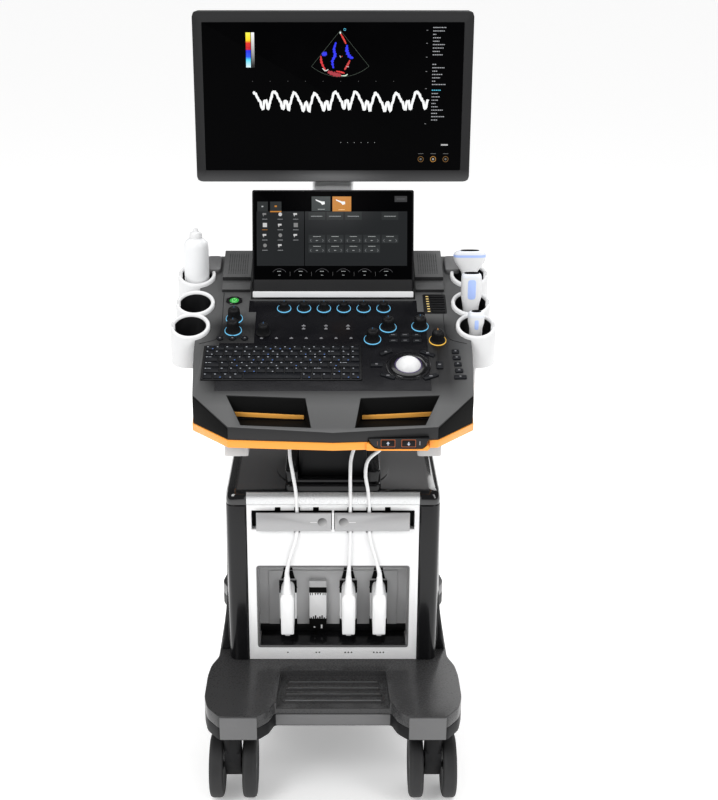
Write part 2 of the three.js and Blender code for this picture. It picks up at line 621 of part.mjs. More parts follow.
function buildDeckPieces() {
  const deck = new THREE.Group();
  deck.position.set(0, DECK_Y, DECK_Z);
  deck.rotation.x = rad(DECK_SLOPE);
  machine.add(deck);

  const { x0, x1, a0, a1 } = KEYBOARD;
  let glass = prism(glassPlan(0), 'z', -2.5, 0);
  glass = cut(
    glass,
    box([x0 - GAP, a0 - GAP, -9], [x1 + GAP, a1 + GAP, 5]),
    rod(TRACKBALL.r + 0.9, -60, 5, 'z', [TRACKBALL.x, TRACKBALL.along, 0], 28),
  );
  for (const { x, along } of KNOBS) glass = cut(glass, rod(3.5, -10, 5, 'z', [x, along, 0], 10));
  add('control_glass', glass, LOOKS.glass, deck);

  const keys = prism([[x0, a0, 4], [x1, a0, 4], [x1, a1, 4], [x0, a1, 4]], 'z', -8, 1.5, 2);
  add('keyboard', keys, LOOKS.black, deck);

  const ball = add('trackball', new THREE.SphereGeometry(TRACKBALL.r, 20, 12), LOOKS.white, deck);
  ball.position.set(TRACKBALL.x, TRACKBALL.along, -TRACKBALL.drop);

  for (const { name, x, along, r, height } of KNOBS) {
    const knob = latheGeometry(
      [[0, -9], [3, -9], [3, GAP], [r + 2.5, GAP], [r + 2.5, 2.8], [r, 3], [r - 1, height], [0, height]],
      16,
    );
    add(name, knob, LOOKS.black, deck).position.set(x, along, 0);
  }
  const button = latheGeometry([[0, -5], [POWER.r, -5], [POWER.r, 1.5], [POWER.r - 2, 2.5], [0, 2.5]], 20);
  add('power_button', button, LOOKS.green, deck).position.set(POWER.x, POWER.along, 0);
}

// Three upright cups, cut off parallel to the deck, each with a slot outwards for a cable.
function cupHolder(sign) {
  const places = CUPS.map(cupPlace);
  const cups = places.map(({ x, y, z }) => rod(CUP_R, z - CUP_DEPTH, z + 40, 'z', [x, y, 0], 20));
  const bridge = box([CONSOLE_PLAN[3][0] + 6, places[1].y, places[2].z - CUP_DEPTH + 0.5], [288, places[2].y, places[2].z + 20]);
  let holder = join(...cups, bridge).intersect(deckBox([0, 100, -300], [400, 700, CUP_RIM]));
  for (const { x, y, z } of places) {
    holder = cut(
      holder,
      rod(CUP_BORE, z - CUP_DEPTH + 6, z + 60, 'z', [x, y, 0], 20),
      rod(13, z - CUP_DEPTH - 2, z, 'z', [x, y, 0], 16),
      box([x, y - 6.5, z - CUP_DEPTH - 2], [x + 60, y + 6.5, z + 60]),
    );
  }
  return sign > 0 ? holder : holder.mirror([1, 0, 0]);
}

function buildCups() {
  add('cup_holder_left', cupHolder(-1), LOOKS.white);
  add('cup_holder_right', cupHolder(1), LOOKS.white);

  const [front, middle, back] = CUPS.map(cupPlace);
  const foot = (z) => z - CUP_DEPTH + 6 + GAP;
  const bottle = latheGeometry([[0, 0], [26, 0], [28, 3], [28, 128], [24, 134], [12, 138], [10, 156], [0, 158]], 24);
  add('gel_bottle', bottle, LOOKS.white).position.set(-back.x, back.y, foot(back.z));

  const convex = join(
    lathe([[0, 0], [8, 0], [13, 12], [13, 66], [0, 66]], 16),
    prism([[-13, 60], [13, 60], [31, 92, 10], [31, 106, 4], [18, 114, 8], [-18, 114, 8], [-31, 106, 4], [-31, 92, 10]],
      'y', -12, 12, 3),
  );
  const linear = lathe([[0, 0], [8, 0], [15, 14], [15, 60], [19, 78], [19, 118], [14, 124], [0, 124]], 16);
  const phased = lathe([[0, 0], [8, 0], [12, 14], [12, 62], [15, 72], [15, 88], [9, 94], [0, 94]], 16);
  [[front, phased], [middle, linear], [back, convex]].forEach(([cup, body], i) => {
    add(`probe_${i + 1}`, body, LOOKS.white).position.set(cup.x, cup.y, foot(cup.z));
  });
}

// --- screens ------------------------------------------------------------

function buildScreens() {
  const lean = rad(TOUCH.lean);
  const touch = new THREE.Group();
  touch.position.set(0, TOUCH.y, TOUCH.z);
  touch.rotation.x = -lean;
  machine.add(touch);
  const half = TOUCH.width / 2;
  const dy = TOUCH_HINGE.y - TOUCH.y;
  const dz = TOUCH_HINGE.z - TOUCH.z;
  const hingeAt = [0, dy * Math.cos(lean) - dz * Math.sin(lean), dy * Math.sin(lean) + dz * Math.cos(lean)];
  const slab = prism(
    [[-half, 0, 3], [half, 0, 3], [half, TOUCH.height, 3], [-half, TOUCH.height, 3]],
    'y', 0, TOUCH.thick, 2,
  );
  const back = box([-90, TOUCH.thick - 1, 30], [90, TOUCH.thick + 14, 150]);
  const lugs = [-118, 100].map((x) => box([x, TOUCH.thick - 2, 4], [x + 18, hingeAt[1] + 3, hingeAt[2] + 4]));
  add('touch_screen', join(slab, back, ...lugs, rod(5, -136, 136, 'x', hingeAt, 12)), LOOKS.black, touch);

  const stem = join(
    rod(42, 1000 + GAP, 1012, 'z', [0, NECK_Y, 0], 24),
    prism([[-34, NECK_Y - 18, 8], [34, NECK_Y - 18, 8], [34, NECK_Y + 18, 8], [-34, NECK_Y + 18, 8]], 'z', 1010, 1120, 3),
    prism([[-40, NECK_Y - 20, 8], [40, NECK_Y - 20, 8], [40, NECK_Y + 16, 8], [-40, NECK_Y + 16, 8]], 'z', 1119, 1280, 3),
    rod(14, 985, 1001, 'z', [0, NECK_Y, 0], 20),
  );
  const ears = [-40, 27].map((x) => box([x, MONITOR_HINGE.y - 14, 1270], [x + 13, MONITOR_HINGE.y + 18, 1322]));
  const pinHole = rod(6.6, -60, 60, 'x', [0, MONITOR_HINGE.y, MONITOR_HINGE.z], 16);
  add('monitor_neck', cut(join(stem, ...ears), pinHole), LOOKS.silver);

  const wide = MONITOR.width / 2;
  const high = MONITOR.low + MONITOR.height;
  const back0 = MONITOR.front + MONITOR.thick;
  const middle = (MONITOR.low + high) / 2;
  const frame = prism(
    [[-wide, MONITOR.low, 10], [wide, MONITOR.low, 10], [wide, high, 10], [-wide, high, 10]],
    'y', MONITOR.front, back0, 2,
  );
  const hump = prism(
    [[-150, middle - 58, 20], [150, middle - 58, 20], [150, middle + 90, 20], [-150, middle + 90, 20]],
    'y', back0 - 1, back0 + 20, 2,
  );
  const lug = box([-24, back0 + 18, MONITOR_HINGE.z - 14], [24, MONITOR_HINGE.y + 8, MONITOR_HINGE.z + 12]);
  const pin = rod(6, -42, 42, 'x', [0, MONITOR_HINGE.y, MONITOR_HINGE.z], 16);
  add('monitor', join(frame, hump, lug, pin), LOOKS.black);
}

// --- probe cables -------------------------------------------------------

// From each plug, behind its bar, up to the console's underside and back to its coil.
const TO_COIL = [
  [
    [-90.7, -85, 400.6], [-90.7, -86, 407.5], [-89.9, -89.7, 415.5], [-88.6, -92.4, 425], [-81, -92.8, 456],
    [-73, -92.4, 483], [-70.2, -91.4, 500], [-69.5, -89.4, 514], [-69.5, -89.2, 530], [-69.6, -90.6, 544],
    [-70, -92.8, 558], [-71.5, -94, 588], [-77, -94, 626], [-82, -88, 656], [-82.5, -76, 682],
    [-81, -52, 702], [-78, -14, 712], [-77, 36, 715], [-73, 72, 711], [-59, 94, 702], [-38.5, 102, 688.5],
  ],
  [
    [30.9, -85, 400.6], [30.9, -86, 407.5], [31.1, -89.7, 415.5], [31.6, -92.4, 425], [32.8, -92.8, 456],
    [33.4, -92.4, 483], [33.4, -91.4, 500], [33.4, -89.4, 514], [33.4, -89.2, 530], [33.4, -90.6, 544],
    [33.4, -92.8, 558], [33.3, -94, 588], [33, -94, 626], [35, -89, 656], [46, -80, 684],
    [65, -66, 704], [77, -38, 714], [80, 4, 717], [80, 52, 716], [76, 92, 711], [61, 116, 702], [38.5, 125, 688.5],
  ],
  [
    [91.7, -85, 400.6], [91.7, -86, 407.5], [90.3, -89.7, 415.5], [88, -92.4, 425], [80, -92.8, 456],
    [73, -92.4, 483], [70.8, -91.4, 500], [70.1, -89.4, 514], [70.1, -89.2, 530], [70.1, -90.6, 544],
    [69.8, -92.8, 558], [67, -95, 590], [62, -96, 626], [67, -93, 652], [92, -84, 672], [114, -66, 688],
    [124, -30, 700], [121, 20, 706], [112, 70, 707], [96, 114, 704], [70, 140, 697], [38.5, 148, 688.5],
  ],
];

// From the top of each coil across under the console and up into the cup that holds its probe.
const TO_PROBE = [
  [
    [0, 102, 727], [24, 101.5, 728], [48, 96, 731], [76, 80, 734], [110, 44, 735], [150, 4, 735], [196, -36, 735.5],
    [232, -64, 736], [252, -75, 742], [262.5, -76.2, 757], [264, -76.2, 778], [264, -76.2, 848],
  ],
  [
    [0, 125, 727], [24, 124.5, 728], [52, 119, 731], [86, 102, 734], [126, 66, 735], [166, 34, 735], [204, 8, 735.5],
    [230, -5, 736], [248, -8.4, 742], [258.6, -8.6, 757], [260, -8.6, 778], [260, -8.6, 872],
  ],
  [
    [0, 148, 727], [24, 147.5, 728], [56, 143, 731], [100, 126, 734], [146, 104, 735], [196, 86, 735.5],
    [232, 80, 736], [252, 79.7, 742], [262.5, 79.7, 757], [264, 79.7, 778], [264, 79.7, 904],
  ],
];

function tube(points) {
  const curve = new THREE.CatmullRomCurve3(points.map((p) => new THREE.Vector3(...p)), false, 'centripetal');
  const round = new THREE.Shape();
  const sides = 8;
  for (let i = 0; i < sides; i += 1) {
    const angle = ((i + 0.5) / sides) * Math.PI * 2;
    const at = [(CABLE_D / 2) * Math.cos(angle), (CABLE_D / 2) * Math.sin(angle)];
    if (i === 0) round.moveTo(...at);
    else round.lineTo(...at);
  }
  round.closePath();
  const steps = Math.round(curve.getLength() / (CABLE_D * 3));
  return solid(new THREE.ExtrudeGeometry(round, { steps, bevelEnabled: false, extrudePath: curve }));
}

function coil(y) {
  const { r, half } = COIL;
  const section = [[r - half, -half], [r + half, -half], [r + half, half], [r - half, half], [r - half, -half]];
  return solid(latheGeometry(section, 24).rotateX(Math.PI / 2).translate(0, y, COIL.z));
}

function buildCables() {
  const feet = CUPS.map(({ along }) => onDeck(along).z - CUP_DEPTH + 6);
  TO_COIL.forEach((points, i) => {
    const rise = TO_PROBE[i].map(([x, y, z]) => [x, y, Math.min(z, feet[i])]);
    add(`probe_cable_${i + 1}`, join(tube(points), coil(COIL.y[i]), tube(rise)), LOOKS.cable);
  });
}

buildBase();
buildCastors();
buildCabinetFrame();
buildCabinetCovers();
buildFrontPanel();
buildSockets();
buildPlugs();
buildCableBars();
buildColumn();
buildTray();
buildTrim();
buildCover();
buildDeckPieces();
buildCups();
buildScreens();
buildCables();

export default machine;
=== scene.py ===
# Cart ultrasound machine: finishes, detail, cables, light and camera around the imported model.
import math
import bpy
import numpy as np
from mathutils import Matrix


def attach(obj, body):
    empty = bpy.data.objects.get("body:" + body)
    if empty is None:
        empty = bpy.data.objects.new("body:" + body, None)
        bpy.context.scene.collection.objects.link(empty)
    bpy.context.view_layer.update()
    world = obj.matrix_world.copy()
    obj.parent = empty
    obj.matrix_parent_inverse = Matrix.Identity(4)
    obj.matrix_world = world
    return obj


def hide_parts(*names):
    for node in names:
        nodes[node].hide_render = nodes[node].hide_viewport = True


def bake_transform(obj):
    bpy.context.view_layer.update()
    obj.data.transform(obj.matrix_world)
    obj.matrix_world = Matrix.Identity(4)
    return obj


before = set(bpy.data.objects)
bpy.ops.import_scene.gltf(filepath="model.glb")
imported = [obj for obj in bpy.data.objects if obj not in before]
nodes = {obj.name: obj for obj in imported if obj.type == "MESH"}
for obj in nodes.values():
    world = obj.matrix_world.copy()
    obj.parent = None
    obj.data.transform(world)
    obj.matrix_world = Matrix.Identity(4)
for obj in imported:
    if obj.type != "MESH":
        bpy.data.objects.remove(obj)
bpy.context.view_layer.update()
scene = bpy.context.scene
mm = 0.001
rng = np.random.default_rng(7)
sides = {"left": -1, "right": 1}

# Camera

cameraView = {"place": (0, -2.485, 1.6445), "tilt": 70, "lens": 61.2, "sensor": 36, "shift": 0.0325}
cameraData = bpy.data.cameras.new("camera")
cameraData.lens = cameraView["lens"]
cameraData.sensor_width = cameraView["sensor"]
cameraData.shift_x = cameraView["shift"]
camera = bpy.data.objects.new("camera", cameraData)
camera.location = cameraView["place"]
camera.rotation_euler = (math.radians(cameraView["tilt"]), 0, 0)
scene.collection.objects.link(camera)
scene.camera = camera

# Shader helper: a wire is an output socket that takes part in sums


class Wire:
    def __init__(self, shade, socket):
        self.shade = shade
        self.socket = socket

    def maths(self, operation, first, second):
        return self.shade.node("Math", {"operation": operation}, {0: first, 1: second})

    def __add__(self, other):
        return self.maths("ADD", self, other)

    def __sub__(self, other):
        return self.maths("SUBTRACT", self, other)

    def __mul__(self, other):
        return self.maths("MULTIPLY", self, other)

    def __rsub__(self, other):
        return self.maths("SUBTRACT", other, self)

    __radd__ = __add__
    __rmul__ = __mul__


class Shade:
    def __init__(self, name):
        self.material = bpy.data.materials.new(name)
        self.material.use_nodes = True
        self.tree = self.material.node_tree
        self.tree.nodes.clear()

    # kind of node, its settings, then what goes into its sockets
    def node(self, kind, settings=None, inputs=None, out=0):
        made = self.tree.nodes.new("ShaderNode" + kind)
        for key, value in (settings or {}).items():
            if key == "stops":
                ramp = made.color_ramp
                while len(ramp.elements) < len(value):
                    ramp.elements.new(0.5)
                for element, (place, grey) in zip(ramp.elements, value):
                    element.position = place
                    element.color = (grey, grey, grey, 1)
            else:
                setattr(made, key, value)
        for key, value in (inputs or {}).items():
            self.feed(made.inputs[key], value)
        return Wire(self, made.outputs[out])

    def feed(self, socket, value):
        if isinstance(value, Wire):
            self.tree.links.new(value.socket, socket)
        elif isinstance(value, tuple) and len(value) == 3 and socket.type == "RGBA":
            socket.default_value = (*value, 1)
        else:
            socket.default_value = value

    def maths(self, operation, value):
        return self.node("Math", {"operation": operation}, {0: value})

    def place(self, stretch=(1, 1, 1)):
        at = self.node("TexCoord", out=3)
        return self.node("Mapping", {}, {"Vector": at, "Scale": stretch})

    def noise(self, scale, detail=2.0, stretch=(1, 1, 1)):
        return self.node("TexNoise", {}, {"Vector": self.place(stretch), "Scale": scale, "Detail": detail})

    def mix(self, share, first, second):
        return self.node("Mix", {"data_type": "RGBA"}, {0: share, 6: first, 7: second}, out=2)

    def steps(self, value, stops):
        return self.node("ValToRGB", {"stops": stops}, {0: value})

    def surface(self, **inputs):
        made = self.tree.nodes.new("ShaderNodeBsdfPrincipled")
        for key, value in inputs.items():
            self.feed(made.inputs[key.replace("_", " ")], value)
        out = self.tree.nodes.new("ShaderNodeOutputMaterial")
        self.tree.links.new(made.outputs[0], out.inputs[0])
        return self.material


def shaded(colour, factor):
    return tuple(min(1.0, c * factor) for c in colour)


# A moulded or painted finish: slow drift of colour, fine grain in bump and roughness.
def moulded(name, colour, rough, grain=1500, depth=0.04, drift=0.1, metal=0.0, coat=0.0, coatRough=0.08,
            edge=None, shine=0.5):
    shade = Shade(name)
    slow = shade.noise(7, 3)
    fine = shade.noise(grain, 2)
    wide = shade.steps(slow, [(0.3, 0.0), (0.7, 1.0)])
    tone = shade.mix(wide, shaded(colour, 1 - drift), shaded(colour, 1 + drift))
    if edge is not None:
        rubbed = shade.steps(shade.node("NewGeometry", {}, {}, out=7), [(0.52, 0.0), (0.6, 1.0)])
        tone = shade.mix(rubbed * 0.5, tone, edge)
    bump = shade.node("Bump", {}, {"Strength": 0.6, "Distance": depth * mm, "Height": fine})
    roughness = fine * 0.12 + slow * 0.08 + (rough - 0.1)
    return shade.surface(
        Base_Color=tone, Roughness=roughness, Metallic=metal, Specular_IOR_Level=shine, Coat_Weight=coat,
        Coat_Roughness=coatRough, Normal=bump,
    )


# Paint over metal: tiny flakes that turn the light, under a clear coat.
def flaked(name, colour, rough, metal, flake=2600):
    shade = Shade(name)
    cells = shade.node("TexVoronoi", {}, {"Vector": shade.place(), "Scale": flake}, out=1)
    spark = shade.node("SeparateColor", {}, {0: cells})
    slow = shade.noise(5, 2)
    tone = shade.mix(spark * 0.6, shaded(colour, 0.94), shaded(colour, 1.06))
    bump = shade.node("Bump", {}, {"Strength": 0.15, "Distance": 0.02 * mm, "Height": spark})
    return shade.surface(
        Base_Color=tone, Roughness=slow * 0.1 + spark * 0.08 + (rough - 0.09), Metallic=metal,
        Coat_Weight=0.3, Coat_Roughness=0.15, Normal=bump,
    )


def brushed(name, colour, rough, stretch):
    shade = Shade(name)
    lines = shade.noise(420, 4, stretch)
    tone = shade.mix(lines, shaded(colour, 0.85), shaded(colour, 1.15))
    bump = shade.node("Bump", {}, {"Strength": 0.25, "Distance": 0.03 * mm, "Height": lines})
    return shade.surface(Base_Color=tone, Roughness=lines * 0.2 + (rough - 0.1), Metallic=0.85, Normal=bump)


# Glossy lid: satin where it faces up, mirror black on its sides; the paler grey of the upward middle is
# partly the lid's own satin and partly painted light from above.
def liddedBlack(name, lid, side):
    shade = Shade(name)
    facing = shade.node("SeparateXYZ", {}, {0: shade.node("NewGeometry", {}, {}, out=1)}, out=2)
    across = shade.node("SeparateXYZ", {}, {0: shade.place()})
    middle = shade.steps(shade.maths("ABSOLUTE", across), [(0.1865, 1.0), (0.188, 0.0)])
    # partly painted light: the upward-facing middle takes the paler lid colour
    mask = shade.steps(facing, [(0.9, 0.0), (0.99, 1.0)]) * middle
    fine = shade.noise(1300, 2)
    tone = shade.mix(mask, side, shade.mix(shade.noise(6, 2), shaded(lid, 0.92), shaded(lid, 1.08)))
    bump = shade.node("Bump", {}, {"Strength": 0.3, "Distance": 0.03 * mm, "Height": fine * mask})
    return shade.surface(
        Base_Color=tone, Roughness=mask * 0.26 + fine * 0.06 + 0.1, Coat_Weight=1 - mask, Coat_Roughness=0.05,
        Normal=bump,
    )


# Console paint: pale along the front ledge and outer edges, near black round the controls,
# and painted shade where it faces out: the faces turned away from upward take a darker colour.
def deckPaint(name, pale, dark, front):
    shade = Shade(name)
    place = shade.place()
    across = shade.maths("ABSOLUTE", shade.node("SeparateXYZ", {}, {0: place}))
    along = shade.node("SeparateXYZ", {}, {0: place}, out=1)
    facing = shade.node("SeparateXYZ", {}, {0: shade.node("NewGeometry", {}, {}, out=1)}, out=2)
    inner = shade.steps(across, [(0.207, 1.0), (0.243, 0.0)])
    behindLedge = shade.steps(along * -1, [(0.225, 1.0), (0.285, 0.0)])
    beforeEars = shade.steps(along * -1 + 0.2, [(0.24, 0.0), (0.27, 1.0)])
    tone = shade.mix(inner * behindLedge * beforeEars, pale, dark)
    # painted shade: faces that turn away from upward fade to the darker front colour
    tone = shade.mix(shade.steps(facing, [(0.5, 1.0), (0.8, 0.0)]), tone, front)
    tone = shade.mix(shade.noise(7, 3) * 0.12, tone, (0.0, 0.0, 0.0))
    fine = shade.noise(1100, 2)
    bump = shade.node("Bump", {}, {"Strength": 0.5, "Distance": 0.05 * mm, "Height": fine})
    return shade.surface(Base_Color=tone, Roughness=fine * 0.12 + 0.34, Specular_IOR_Level=0.35, Normal=bump)


# Screen surround with painted light: the lower edge paler than the rest.
def bezelLitBelow(name, upper, lower):
    shade = Shade(name)
    height = shade.node("SeparateXYZ", {}, {0: shade.place()}, out=2)
    # painted light on the lower edge of the surround, below about 1.16 m
    tone = shade.mix(shade.steps(height - 1, [(0.15, 1.0), (0.172, 0.0)]), upper, lower)
    fine = shade.noise(1600, 2)
    bump = shade.node("Bump", {}, {"Strength": 0.5, "Distance": 0.03 * mm, "Height": fine})
    return shade.surface(Base_Color=tone, Roughness=fine * 0.1 + 0.36, Specular_IOR_Level=0.3, Normal=bump)


# Reads the piece's own tint attribute; lit finishes also give off that colour.
def tinted(name, rough, glow=0.0):
    shade = Shade(name)
    tint = shade.node("Attribute", {"attribute_name": "tint"})
    fine = shade.noise(900, 2)
    dim = shade.mix(fine * 0.14, tint, (0.0, 0.0, 0.0))
    given = {"Base_Color": dim, "Roughness": fine * 0.1 + rough}
    if glow:
        dull = shade.mix(fine * 0.1 + 0.88, dim, (0.004, 0.004, 0.004))
        given.update(Base_Color=dull, Emission_Color=dim, Emission_Strength=glow)
    return shade.surface(**given)


# Black cover glass with a faint smear of finger marks.
def coverGlass(name, colour, rough, shine):
    shade = Shade(name)
    smear = shade.steps(shade.noise(18, 5, (1, 2.2, 1)), [(0.45, 0.0), (0.75, 1.0)])
    tone = shade.mix(smear * 0.25, colour, shaded(colour, 1.8))
    return shade.surface(Base_Color=tone, Roughness=smear * 0.1 + rough, Specular_IOR_Level=shine)


finishes = {
    "deckGrey": deckPaint("deck grey plastic", (0.098, 0.099, 0.1), (0.012, 0.012, 0.013),
                          (0.03, 0.03, 0.031)),
    "darkGrey": moulded("dark grey plastic", (0.055, 0.056, 0.058), 0.46, 1200, 0.05, 0.08),
    "satinGrey": moulded("satin grey paint", (0.15, 0.15, 0.152), 0.36, 1700, 0.02, 0.05),
    "gloss": moulded("gloss black shell", (0.009, 0.009, 0.01), 0.22, 240, 0.006, 0.15, coat=0.25,
                     coatRough=0.06, shine=0.35),
    "softBlack": moulded("soft black plastic", (0.01, 0.01, 0.011), 0.45, 1500, 0.05, 0.15, shine=0.25),
    "lid": liddedBlack("cabinet lid", (0.085, 0.085, 0.087), (0.012, 0.012, 0.013)),
    "baseTop": moulded("gloss base shell", (0.052, 0.052, 0.053), 0.28, 260, 0.0015, 0.06, coat=0.2,
                       coatRough=0.12, shine=0.35),
    "glass": coverGlass("control glass", (0.007, 0.007, 0.009), 0.2, 0.3),
    "screen": coverGlass("screen glass", (0.0012, 0.0012, 0.0015), 0.3, 0.03),
    "bezel": moulded("bezel grey", (0.026, 0.026, 0.027), 0.42, 1600, 0.03, 0.06, shine=0.3),
    "monitorEdge": bezelLitBelow("monitor surround", (0.022, 0.022, 0.023), (0.085, 0.085, 0.087)),
    "midGrey": flaked("mid grey paint", (0.45, 0.45, 0.455), 0.38, 0.2),
    "bayGrey": moulded("bay grey", (0.54, 0.54, 0.543), 0.5, 1300, 0.04, 0.06),
    "silver": flaked("silver paint", (0.88, 0.882, 0.886), 0.32, 0.08),
    "neckMetal": flaked("neck silver", (0.85, 0.855, 0.86), 0.3, 0.3),
    "bandSilver": flaked("band silver", (0.72, 0.725, 0.73), 0.3, 0.7),
    "slotBlack": moulded("slot black", (0.005, 0.005, 0.005), 0.6, 900, 0.04, 0.2, shine=0.12),
    "white": moulded("white plastic", (0.7, 0.702, 0.706), 0.36, 1800, 0.02, 0.02, shine=0.35),
    "plugWhite": moulded("plug white plastic", (0.9, 0.902, 0.906), 0.36, 1800, 0.02, 0.02, shine=0.35),
    "holdOrange": moulded("hand hold orange", (1.0, 0.5, 0.11), 0.4, 900, 0.02, 0.04),
    "bottle": moulded("bottle plastic", (0.76, 0.765, 0.772), 0.34, 700, 0.03, 0.02, shine=0.4),
    "orange": moulded("orange trim", (0.9, 0.37, 0.055), 0.36, 900, 0.02, 0.05, coat=0.3),
    "green": moulded("green button", (0.02, 0.36, 0.045), 0.3, 900, 0.02, 0.08, coat=0.4),
    "paleBlue": moulded("pale blue plastic", (0.42, 0.54, 0.88), 0.35, 1200, 0.02, 0.04),
    "lens": moulded("probe lens rubber", (0.7, 0.72, 0.76), 0.5, 1400, 0.04, 0.05),
    "tyre": moulded("castor tyre", (0.03, 0.03, 0.031), 0.62, 600, 0.12, 0.2, edge=(0.08, 0.08, 0.08)),
    "steel": brushed("brushed steel", (0.42, 0.43, 0.44), 0.36, (1, 1, 14)),
    "jacket": moulded("cable jacket", (0.86, 0.862, 0.866), 0.46, 1500, 0.04, 0.03),
    "key": moulded("key cap", (0.007, 0.008, 0.011), 0.42, 1500, 0.03, 0.12, shine=0.18),
    "print": tinted("printed marks", 0.5),
    "light": tinted("lit marks", 0.4, 1.0),
    "ring": tinted("light ring", 0.35, 1.3),
}
print("finishes ready")

# Shapes: every shape is (points, faces); a grid of points becomes quads


def gridShape(points, closeU=False, closeV=False):
    rows = np.arange(points.shape[0] * points.shape[1]).reshape(points.shape[:2])
    rows = np.vstack([rows, rows[:1]]) if closeU else rows
    rows = np.hstack([rows, rows[:, :1]]) if closeV else rows
    quads = np.stack([rows[:-1, :-1], rows[1:, :-1], rows[1:, 1:], rows[:-1, 1:]], -1).reshape(-1, 4)
    return points.reshape(-1, 3), [tuple(q) for q in quads.tolist()]


def joined(shapes):
    points, faces, base = [], [], 0
    for given, quads in shapes:
        points.append(given)
        faces.extend(tuple(i + base for i in q) for q in quads)
        base += len(given)
    return np.vstack(points), faces


# An outline of (x, y, radius): each corner is a quadratic bend between its two cut points.
def rounded(corners, steps=4):
    at = np.array([c[:2] for c in corners], float)
    radius = np.array([c[2] if len(c) > 2 else 0 for c in corners], float)
    t = np.linspace(0, 1, steps + 1)[:, None]
    parts = []
    for before, here, after, r in zip(np.roll(at, 1, 0), at, np.roll(at, -1, 0), radius):
        if r == 0:
            parts.append(here[None])
            continue
        a = here + (before - here) * r / np.linalg.norm(before - here)
        b = here + (after - here) * r / np.linalg.norm(after - here)
        parts.append((1 - t) ** 2 * a + 2 * t * (1 - t) * here + t ** 2 * b)
    return np.vstack(parts)


def oblong(x0, y0, x1, y1, r=0):
    return rounded([(x0, y0, r), (x1, y0, r), (x1, y1, r), (x0, y1, r)])


def circle(x, y, r, count=20):
    a = np.linspace(0, 2 * np.pi, count, endpoint=False)
    return np.stack([x + r * np.cos(a), y + r * np.sin(a)], 1)


# Mitre at each corner of a counter-clockwise outline: outward, one unit from both edges.
def mitres(flat):
    edge = np.roll(flat, -1, 0) - flat
    edge /= np.linalg.norm(edge, axis=1)[:, None]
    out = np.stack([edge[:, 1], -edge[:, 0]], 1)
    last = np.roll(out, 1, 0)
    return (out + last) / (1 + np.sum(out * last, 1))[:, None]


# Outline raised from low to high, its upper edge a quarter round: inset e(1 - cos t), height e sin t.
def slab(flat, low, high, edge=0.0, steps=3):
    t = np.linspace(0, np.pi / 2, steps + 1) if edge else np.zeros(1)
    inset = np.concatenate([[0], edge * (1 - np.cos(t))])
    height = np.concatenate([[low], high - edge + edge * np.sin(t)])
    rings = flat[None] - mitres(flat)[None] * inset[:, None, None]
    z = np.broadcast_to(height[:, None, None], (*rings.shape[:2], 1))
    points, faces = gridShape(np.concatenate([rings, z], 2), closeV=True)
    count = len(flat)
    faces = [f[::-1] for f in faces]
    faces.append(tuple(range(count))[::-1])
    faces.append(tuple(range(len(points) - count, len(points))))
    return points, faces


def tile(x0, y0, x1, y1, low, high):
    return slab(np.array([(x0, y0), (x1, y0), (x1, y1), (x0, y1)], float), low, high)


# Profile of (radius, height) turned once round the z axis; radius 0 closes a pole.
def turned(profile, x=0, y=0, count=32):
    r, z = np.array(profile, float).T
    a = np.linspace(0, 2 * np.pi, count, endpoint=False)[:, None]
    grid = np.stack([x + r * np.cos(a), y + r * np.sin(a), z + 0 * a], -1)
    return welded(gridShape(grid, closeU=True))


# Puts points that coincide together and drops faces that have shrunk to a line.
def welded(shape):
    points, faces = shape
    found, back = np.unique(np.round(points, 4), axis=0, return_inverse=True)
    back = back.ravel()
    kept = []
    for f in faces:
        ring = [int(back[i]) for i in f]
        ring = [i for k, i in enumerate(ring) if i != ring[k - 1]]
        if len(set(ring)) > 2:
            kept.append(tuple(ring))
    return found, kept


# Circle of the given radius carried along a route on frames turned as little as possible.
def pipe(route, radius, sides=12):
    along = np.gradient(route, axis=0)
    along /= np.linalg.norm(along, axis=1)[:, None]
    side = np.cross(along[0], (0.31, 0.57, 0.76))
    across = []
    for way in along:
        side = side - way * np.dot(side, way)
        side = side / np.linalg.norm(side)
        across.append(side)
    across = np.array(across)
    other = np.cross(along, across)
    a = np.linspace(0, 2 * np.pi, sides, endpoint=False)
    r = np.broadcast_to(np.asarray(radius, float), (len(route),))[:, None, None]
    ring = np.cos(a)[None, :, None] * across[:, None] + np.sin(a)[None, :, None] * other[:, None]
    points, faces = gridShape(route[:, None] + ring * r, closeV=True)
    faces = [f[::-1] for f in faces]
    return points, faces + [tuple(range(sides))[::-1], tuple(range(len(points) - sides, len(points)))]


# Centripetal Catmull-Rom through the points: Hermite legs whose knots are spaced by the root of distance.
def smoothRoute(points, perLeg=6):
    p = np.array(points, float)
    p = np.vstack([2 * p[0] - p[1], p, 2 * p[-1] - p[-2]])
    d = np.sqrt(np.linalg.norm(np.diff(p, axis=0), axis=1))[:, None]
    p0, p1, p2, p3 = p[:-3], p[1:-2], p[2:-1], p[3:]
    d0, d1, d2 = d[:-2], d[1:-1], d[2:]
    m1 = ((p1 - p0) / d0 - (p2 - p0) / (d0 + d1) + (p2 - p1) / d1) * d1
    m2 = ((p2 - p1) / d1 - (p3 - p1) / (d1 + d2) + (p3 - p2) / d2) * d1
    t = np.linspace(0, 1, perLeg, endpoint=False)[None, :, None]
    h = (2 * t ** 3 - 3 * t ** 2 + 1) * p1[:, None] + (t ** 3 - 2 * t ** 2 + t) * m1[:, None]
    h = h + (3 * t ** 2 - 2 * t ** 3) * p2[:, None] + (t ** 3 - t ** 2) * m2[:, None]
    return np.vstack([h.reshape(-1, 3), p[-2:-1]])


